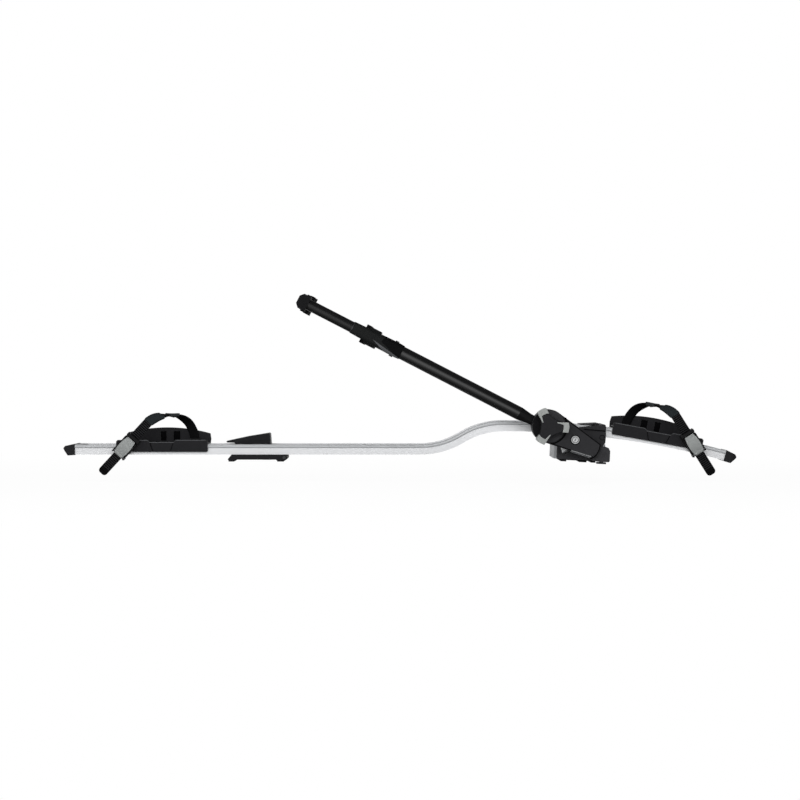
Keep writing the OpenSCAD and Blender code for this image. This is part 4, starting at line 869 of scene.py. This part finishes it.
@dataclass
class WheelHolder(SubAssembly):
    """One wheel holder with its strap and buckle; sizes are in millimetres, in the holder's own frame."""

    end: End = End.REAR
    half: float = 97.0
    skirt: float = 5.8
    top: float = 31.2
    panel_top: float = 26.6
    panel_half: float = 28.0
    panel_foot: float = 20.0
    outer: float = 37.9
    sunk: float = 1.3
    far_face: float = 33.4
    flute_depth: float = 1.95
    flutes: tuple[tuple[float, float], ...] = ((-11.0, 2.0), (17.0, 32.0))
    flute_top: float = 48.4
    lip_radius: float = 0.9
    lip_drop: float = 0.5
    lip_rise: float = 4.2
    lip_ends: tuple[float, float] = (4.0, 2.0)
    seam_inset: float = 1.7
    seam_width: float = 2.0
    seam_proud: float = 0.5
    lining_gap: float = 0.6
    lining_top_gap: float = 0.8
    lining_thickness: float = 0.35
    lining_soft: float = 0.1
    arc_radius: float = 1808.0
    arc_deg: float = 10.4

    def __post_init__(self) -> None:
        """List the solids of this end's holder."""
        looks = (
            ("holder", Palette.holder, R, 1.2),
            ("tyre_pad", Palette.rubber, R, 0.4),
            ("strap", Palette.strap, S, 0.5),
            ("clip", Palette.clip, S, 0.5),
            ("sleeve", Palette.sleeve, S, 0.5),
            ("ladder", Palette.teeth_painted_light, R, 0.2),
            ("anchor", Palette.buckle, R, 0.4),
            ("buckle_frame", Palette.buckle, R, 0.6),
            ("buckle_screw", Palette.zinc, Treatment.KEEP, 0.3),
            ("buckle_pin", Palette.zinc, Treatment.KEEP, 0.3),
            ("buckle_lever", Palette.lever, R, 0.9),
        )
        # The ladder's faces behind its tooth tops take the strap colour: painted shade between the teeth.
        deep = {"ladder": (DeepAccent(Palette.strap, 0.5),)}
        self.dressings = tuple(
            Dressing(f"{self.end.value}_{part}", finish, treatment, edge, deep.get(part, ()))
            for part, finish, treatment, edge in looks)

    def place(self) -> Matrix:
        """Find where the holder's frame stands: on the straight rail, or mirrored on the front arc.

        Returns:
            The frame's matrix, in metres.
        """
        if self.end is End.REAR:
            low = Vector(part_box("rear_holder")[0])
            return Matrix.Translation((low.x + self.half * MM, 0.0, low.z - self.skirt * MM))
        centre = Matrix.Translation(self.shop.hinges["front_holder_slide"])
        lean = Matrix.Rotation(math.radians(self.arc_deg), 4, "Y")
        rise = Matrix.Translation((0.0, 0.0, self.arc_radius * MM))
        return centre @ lean @ rise @ Matrix.Scale(-1.0, 4, (1.0, 0.0, 0.0))

    def trims(self) -> list[bpy.types.Object]:
        """Add the lip along the near wall as a painted highlight, and dark plates of painted shade in the
        panel's seams and at the back of the flutes.

        Returns:
            The new pieces.
        """
        end = self.end.value
        node = f"{end}_holder"
        place = self.place()
        edge, deep = TRIM_SUNK - self.outer, self.sunk - TRIM_SUNK - self.outer
        high, low = self.top - self.lip_drop, self.panel_top - self.lip_drop
        foot = self.panel_half - self.seam_inset
        left, right = self.lip_ends
        lip_highlight = self.shop.bead([
            (left - self.half, edge, high),
            (-foot - self.lip_rise, edge, high),
            (-foot, deep, low),
            (foot, deep, low),
            (foot + self.lip_rise, edge, high),
            (self.half - right, edge, high),
        ], self.lip_radius)
        pieces = [self.shop.trim(lip_highlight, f"{end}_holder_lip_highlight", node, Palette.lip_highlight, place)]
        # Dark strips in the corners of the sunk panel: painted shade.
        panel = self.sunk - self.outer
        seam_top, seam_foot = self.panel_top - TRIM_SUNK, self.skirt + self.seam_inset
        for side, label in ((-1.0, "outer"), (1.0, "inner")):
            seam_shade = self.shop.plate([
                (side * foot, seam_top),
                (side * (foot - self.seam_width), seam_top),
                (side * (self.panel_foot - self.seam_width), seam_foot),
                (side * self.panel_foot, seam_foot),
            ], panel - self.seam_proud, panel, TRIM_SOFT)
            pieces.append(self.shop.trim(seam_shade, f"{end}_holder_seam_{label}", node, Palette.seam_shade, place))
        # Dark plates at the back of the flutes: painted shade.
        back = self.far_face + self.flute_depth
        base, top = self.panel_top + self.lining_gap, self.flute_top - self.lining_top_gap
        for number, (start, stop) in enumerate(self.flutes, start=1):
            near_end, far_end = start + self.lining_gap, stop - self.lining_gap
            flute_shade_plate = self.shop.plate(
                [(near_end, base), (far_end, base), (far_end, top), (near_end, top)],
                back - self.lining_thickness, back, self.lining_soft)
            pieces.append(self.shop.trim(flute_shade_plate, f"{end}_flute_shade_{number}", node, Palette.seam_shade, place))
        return pieces


@dataclass
class FrameArm(SubAssembly):
    """The folding arm with its two jaws."""

    dressings: tuple[Dressing, ...] = (
        Dressing("pivot_shaft", Palette.zinc),
        Dressing("arm_fork", Palette.fork, R, 0.6),
        Dressing("hub_cap", Palette.fork, R, 1.2),
        Dressing("arm_tube", Palette.tube, R, 0.3),
        # On the lower jaw the first wedge is painted shade, the second a painted reflection of the floor.
        Dressing("lower_jaw", Palette.jaw, R, 1.2, (
            WedgeAccent(
                Palette.facet_shade, apex=(-0.4270, 0.2550), first=(-0.4150, 0.2680), second=(-0.3906, 0.2184)),
            WedgeAccent(
                Palette.skirt, apex=(-0.4450, 0.2600), first=(-0.3906, 0.2206), second=(-0.4000, 0.2080)),
        )),
        Dressing("lower_jaw_pad", Palette.rubber, R, 0.5),
        Dressing("jaw_screws", Palette.collar),
        Dressing("tube_collar", Palette.collar, R, 0.5),
        Dressing("pull_cable", Palette.zinc),
        Dressing("inner_tube", Palette.inner, R, 0.3),
        Dressing("upper_jaw", Palette.jaw_tip, R, 1.8),
        Dressing("upper_jaw_pad", Palette.rubber, R, 0.5),
    )


@dataclass
class ClampHousing(SubAssembly):
    """The housing on the near end of the pivot, with knob and lock."""

    dressings: tuple[Dressing, ...] = (
        # The plate is near black above, as painted shade behind the cover's edge; its lower part keeps the
        # casting colour.
        Dressing("housing_plate", Palette.groove_shade, R, 0.6, (LowAccent(Palette.cast, 45.0),)),
        # A near-black band round the cover's face: a painted dark outline.
        Dressing("housing_cover", Palette.housing, R, 0.9, (RimAccent(Palette.groove_shade, 2.4),)),
        Dressing("lock_ring", Palette.lock, R, 0.5),
        Dressing("lock_plug", Palette.lock, R, 0.3),
        # Behind its front the knob is painted lighter in the hollows and darker on the left: painted light
        # and painted shade.
        Dressing("knob", Palette.knob, R, 1.0, (
            DeepAccent(Palette.hollow_painted_light, 1.5), DeepAccent(Palette.shade, 1.5, 0.3))),
        Dressing("knob_grips", Palette.grip, R, 0.9),
        Dressing("knob_drum", Palette.zinc),
    )
    cover_face: float = -126.0
    lock_face: float = -127.6
    lock_gap: tuple[float, float] = (5.8, 6.7)
    groove_turn: tuple[float, float] = (-82.0, 28.0)
    groove_span: tuple[float, float] = (0.2, 1.8)
    strip_proud: float = 0.25
    bright_edge: tuple[tuple[float, float], ...] = ((-30.0, 29.0), (12.0, 15.6), (11.4, 13.7), (-30.6, 27.1))

    def trims(self) -> list[bpy.types.Object]:
        """Add painted shade in a ring beside the knob and in lines round the lock, and the cover's bright
        edge as painted light.

        Returns:
            The new pieces.
        """
        pieces = []
        for name, node, carrier, face, span, turn in (
            ("knob_groove_shade", "knob", "housing_cover", self.cover_face, None, self.groove_turn),
            ("lock_surround_shade", "lock_ring", "housing_cover", self.cover_face, None, WHOLE_TURN),
            ("lock_gap_shade_line", "lock_ring", "lock_ring", self.lock_face, self.lock_gap, WHOLE_TURN),
        ):
            low, high = (Vector(corner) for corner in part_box(node))
            radius = (high.x - low.x) / 2 / MM
            inner, outer = span or (radius + self.groove_span[0], radius + self.groove_span[1])
            ring = self.shop.ring(inner, outer, face - TRIM_SUNK, face + TRIM_SUNK, turn)
            place = Matrix.Translation(((low.x + high.x) / 2, 0.0, (low.z + high.z) / 2))
            pieces.append(self.shop.trim(ring, name, carrier, Palette.groove_shade, place))
        # The light strip is the plate's silver edge brought to the cover's face and painted lighter than its
        # shade.
        near, far = self.cover_face - self.strip_proud, self.cover_face + TRIM_SUNK
        strip = self.shop.plate(list(self.bright_edge), near, far, TRIM_SOFT)
        pieces.append(
            self.shop.trim(strip, "cover_highlight_strip", "housing_cover", Palette.edge_highlight_strip, Matrix()))
        return pieces


@dataclass(frozen=True)
class Lamp:
    """A soft box that polished faces do not mirror, with its strength in watts."""

    name: str
    place: tuple[float, float, float]
    size: tuple[float, float]
    power: float
    aim: tuple[float, float, float] = (-0.4, 0.0, 0.1)

    def add(self) -> None:
        """Hang the lamp in the scene and turn it to the point that it faces."""
        data = bpy.data.lights.new(self.name, "AREA")
        data.shape = "RECTANGLE"
        data.size, data.size_y = self.size
        data.energy = self.power
        lamp = bpy.data.objects.new(self.name, data)
        lamp.location = self.place
        lamp.rotation_euler = (Vector(self.aim) - Vector(self.place)).to_track_quat("-Z", "Y").to_euler()
        lamp.visible_glossy = False
        bpy.context.scene.collection.objects.link(lamp)


@dataclass
class Studio:
    """Camera, lights and the pale room around the carrier."""

    aim: tuple[float, float, float] = (-0.3878, 0.0, 0.131)
    distance: float = 4.0
    elevation: float = 1.0
    width: float = 1.7236
    sensor_mm: float = 36.0
    clip_end: float = 50.0
    lamps: tuple[Lamp, ...] = (
        Lamp("front", (-0.5, -3.2, 1.1), (3.0, 1.0), 74.0),
        Lamp("overhead", (-0.4, -0.6, 2.4), (2.6, 1.2), 24.0, aim=(-0.4, 0.0, 0.0)),
        Lamp("back", (-0.4, 3.2, 0.9), (3.0, 1.0), 50.0),
        Lamp("near_left", (-2.4, -2.0, 1.2), (1.4, 1.4), 16.0),
    )
    soft_strength: float = 0.55
    wall_top: float = 0.15
    ceiling_from: float = 0.5
    ceiling_tone: float = 0.08
    fade_from: float = 0.2
    fade_to: float = 1.1
    near_white: float = 0.96
    near_mirrored: float = 0.0
    floor_gap: float = 0.014
    floor_half: float = 6.0
    floor_roughness: float = 0.9
    floor_tone: float = 0.8
    mirrored_tone: float = 0.1

    def camera(self) -> None:
        """Set the camera at the photograph's viewing angle."""
        data = bpy.data.cameras.new("camera")
        data.sensor_width = self.sensor_mm
        data.lens = data.sensor_width * self.distance / self.width
        data.clip_end = self.clip_end
        eye = bpy.data.objects.new("camera", data)
        tilt = math.radians(self.elevation)
        offset = Vector((0.0, -math.cos(tilt), math.sin(tilt))) * self.distance
        eye.location = Vector(self.aim) + offset
        eye.rotation_euler = (math.radians(90.0) - tilt, 0.0, 0.0)
        bpy.context.scene.collection.objects.link(eye)
        bpy.context.scene.camera = eye

    def lights(self) -> None:
        """Light the carrier from the front, with less from behind, from above and from the left."""
        for lamp in self.lamps:
            lamp.add()

    @staticmethod
    def white_share(tree: bpy.types.NodeTree, seen: object, mirrored: object) -> bpy.types.NodeSocket:
        """Tell the rays that should meet plain white from the rest.

        Args:
            tree: the material's or world's tree.
            seen: a socket or a number with how much of the white a camera ray meets.
            mirrored: the same for a glossy or transmission ray.

        Returns:
            The socket with the share of white.
        """
        path = tree.nodes.new("ShaderNodeLightPath")
        direct = NodeGroups.maths(tree, "MULTIPLY", path.outputs["Is Camera Ray"], seen)
        bounced = NodeGroups.maths(
            tree, "MAXIMUM", path.outputs["Is Glossy Ray"], path.outputs["Is Transmission Ray"])
        reflected = NodeGroups.maths(tree, "MULTIPLY", bounced, mirrored)
        return NodeGroups.maths(tree, "MAXIMUM", direct, reflected)

    def ceiling(self, tree: bpy.types.NodeTree) -> bpy.types.NodeSocket:
        """Shade the surroundings from white walls to a grey ceiling.

        Args:
            tree: the world's tree.

        Returns:
            The colour socket of the surroundings.
        """
        place = tree.nodes.new("ShaderNodeTexCoord")
        split = tree.nodes.new("ShaderNodeSeparateXYZ")
        ramp = tree.nodes.new("ShaderNodeValToRGB")
        wall, top = ramp.color_ramp.elements
        wall.position, top.position = self.wall_top, self.ceiling_from
        wall.color = (1.0, 1.0, 1.0, 1.0)
        top.color = (self.ceiling_tone, self.ceiling_tone, self.ceiling_tone, 1.0)
        tree.links.new(place.outputs["Generated"], split.inputs[0])
        tree.links.new(split.outputs["Z"], ramp.inputs["Fac"])
        return ramp.outputs["Color"]

    def room(self) -> None:
        """Make the white surroundings."""
        world = bpy.data.worlds.new("studio")
        bpy.context.scene.world = world
        world.use_nodes = True
        tree = world.node_tree
        soft = tree.nodes["Background"]
        soft.inputs["Strength"].default_value = self.soft_strength
        white = tree.nodes.new("ShaderNodeBackground")
        white.inputs["Strength"].default_value = 1.0
        sky = self.ceiling(tree)
        path = tree.nodes.new("ShaderNodeLightPath")
        backdrop = NodeGroups.maths(tree, "MAXIMUM", sky, path.outputs["Is Camera Ray"])
        tree.links.new(sky, soft.inputs["Color"])
        tree.links.new(backdrop, white.inputs["Color"])
        mix = tree.nodes.new("ShaderNodeMixShader")
        tree.links.new(self.white_share(tree, 1.0, 1.0), mix.inputs["Fac"])
        tree.links.new(soft.outputs[0], mix.inputs[1])
        tree.links.new(white.outputs[0], mix.inputs[2])
        tree.links.new(mix.outputs[0], tree.nodes["World Output"].inputs["Surface"])

    def floor(self, low: float) -> None:
        """Lay a pale floor under the carrier, which keeps its shadow.

        Args:
            low: the height of the carrier's lowest point.
        """
        mesh = bpy.data.meshes.new("floor")
        bm = bmesh.new()
        bmesh.ops.create_grid(bm, x_segments=1, y_segments=1, size=self.floor_half)
        bmesh.ops.translate(bm, verts=bm.verts, vec=(self.aim[0], 0.0, low - self.floor_gap))
        bm.to_mesh(mesh)
        bm.free()
        floor = bpy.data.objects.new("floor", mesh)
        bpy.context.scene.collection.objects.link(floor)
        material = bpy.data.materials.new("pale_floor")
        material.use_nodes = True
        tree = material.node_tree
        shader = tree.nodes["Principled BSDF"]
        shader.inputs["Roughness"].default_value = self.floor_roughness
        path = tree.nodes.new("ShaderNodeLightPath")
        dimmed = NodeGroups.maths(
            tree, "MULTIPLY", path.outputs["Is Glossy Ray"], self.floor_tone - self.mirrored_tone)
        tone = NodeGroups.maths(tree, "SUBTRACT", self.floor_tone, dimmed)
        tree.links.new(tone, shader.inputs["Base Color"])
        glow = tree.nodes.new("ShaderNodeEmission")
        mix = tree.nodes.new("ShaderNodeMixShader")
        place = tree.nodes.new("ShaderNodeTexCoord")
        apart = tree.nodes.new("ShaderNodeSeparateXYZ")
        tree.links.new(place.outputs["Object"], apart.inputs[0])
        away = NodeGroups.maths(tree, "ABSOLUTE", apart.outputs["Y"], 0.0)
        shares = []
        for near_share in (self.near_white, self.near_mirrored):
            fade = tree.nodes.new("ShaderNodeMapRange")
            fade.inputs["From Min"].default_value = self.fade_from
            fade.inputs["From Max"].default_value = self.fade_to
            fade.inputs["To Min"].default_value = near_share
            fade.inputs["To Max"].default_value = 1.0
            tree.links.new(away, fade.inputs["Value"])
            shares.append(fade.outputs["Result"])
        tree.links.new(self.white_share(tree, shares[0], shares[1]), mix.inputs["Fac"])
        tree.links.new(shader.outputs[0], mix.inputs[1])
        tree.links.new(glow.outputs[0], mix.inputs[2])
        tree.links.new(mix.outputs[0], tree.nodes["Material Output"].inputs["Surface"])
        mesh.materials.append(material)
        floor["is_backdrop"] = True


def plain(box: object) -> list[list[float]]:
    """Turn a box's two corners into plain lists.

    Args:
        box: the lower and the upper corner.

    Returns:
        The same numbers in lists.
    """
    return [[float(value) for value in corner] for corner in box]


def main() -> None:
    """Build the studio, dress every sub-assembly and lay the floor under the measured lowest point."""
    logging.basicConfig(level=logging.INFO, format="%(name)s: %(message)s")
    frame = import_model()
    solid_box = plain(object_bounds())
    bpy.context.scene.view_settings.view_transform = "Standard"
    studio = Studio()
    studio.camera()
    studio.lights()
    studio.room()
    behaviour = frame["record"]["behaviour"]
    hinges = {joint["name"]: Vector(joint["pos_m"]) for joint in behaviour["joints"] if "pos_m" in joint}
    shop = Workshop(frame["nodes"], behaviour["bodies"], hinges)
    groups: list[SubAssembly] = [
        CarrierRail(shop),
        BarBase(shop),
        RearFoot(shop),
        WheelHolder(shop, end=End.REAR),
        WheelHolder(shop, end=End.FRONT),
        FrameArm(shop),
        ClampHousing(shop),
    ]
    for group in groups:
        shown = group.build()
        LOG.info("%s: %d pieces", type(group).__name__, len(shown))
    shown_box = plain(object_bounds())
    studio.floor(min(solid_box[0][2], shown_box[0][2]))


if __name__ == "__main__":
    main()
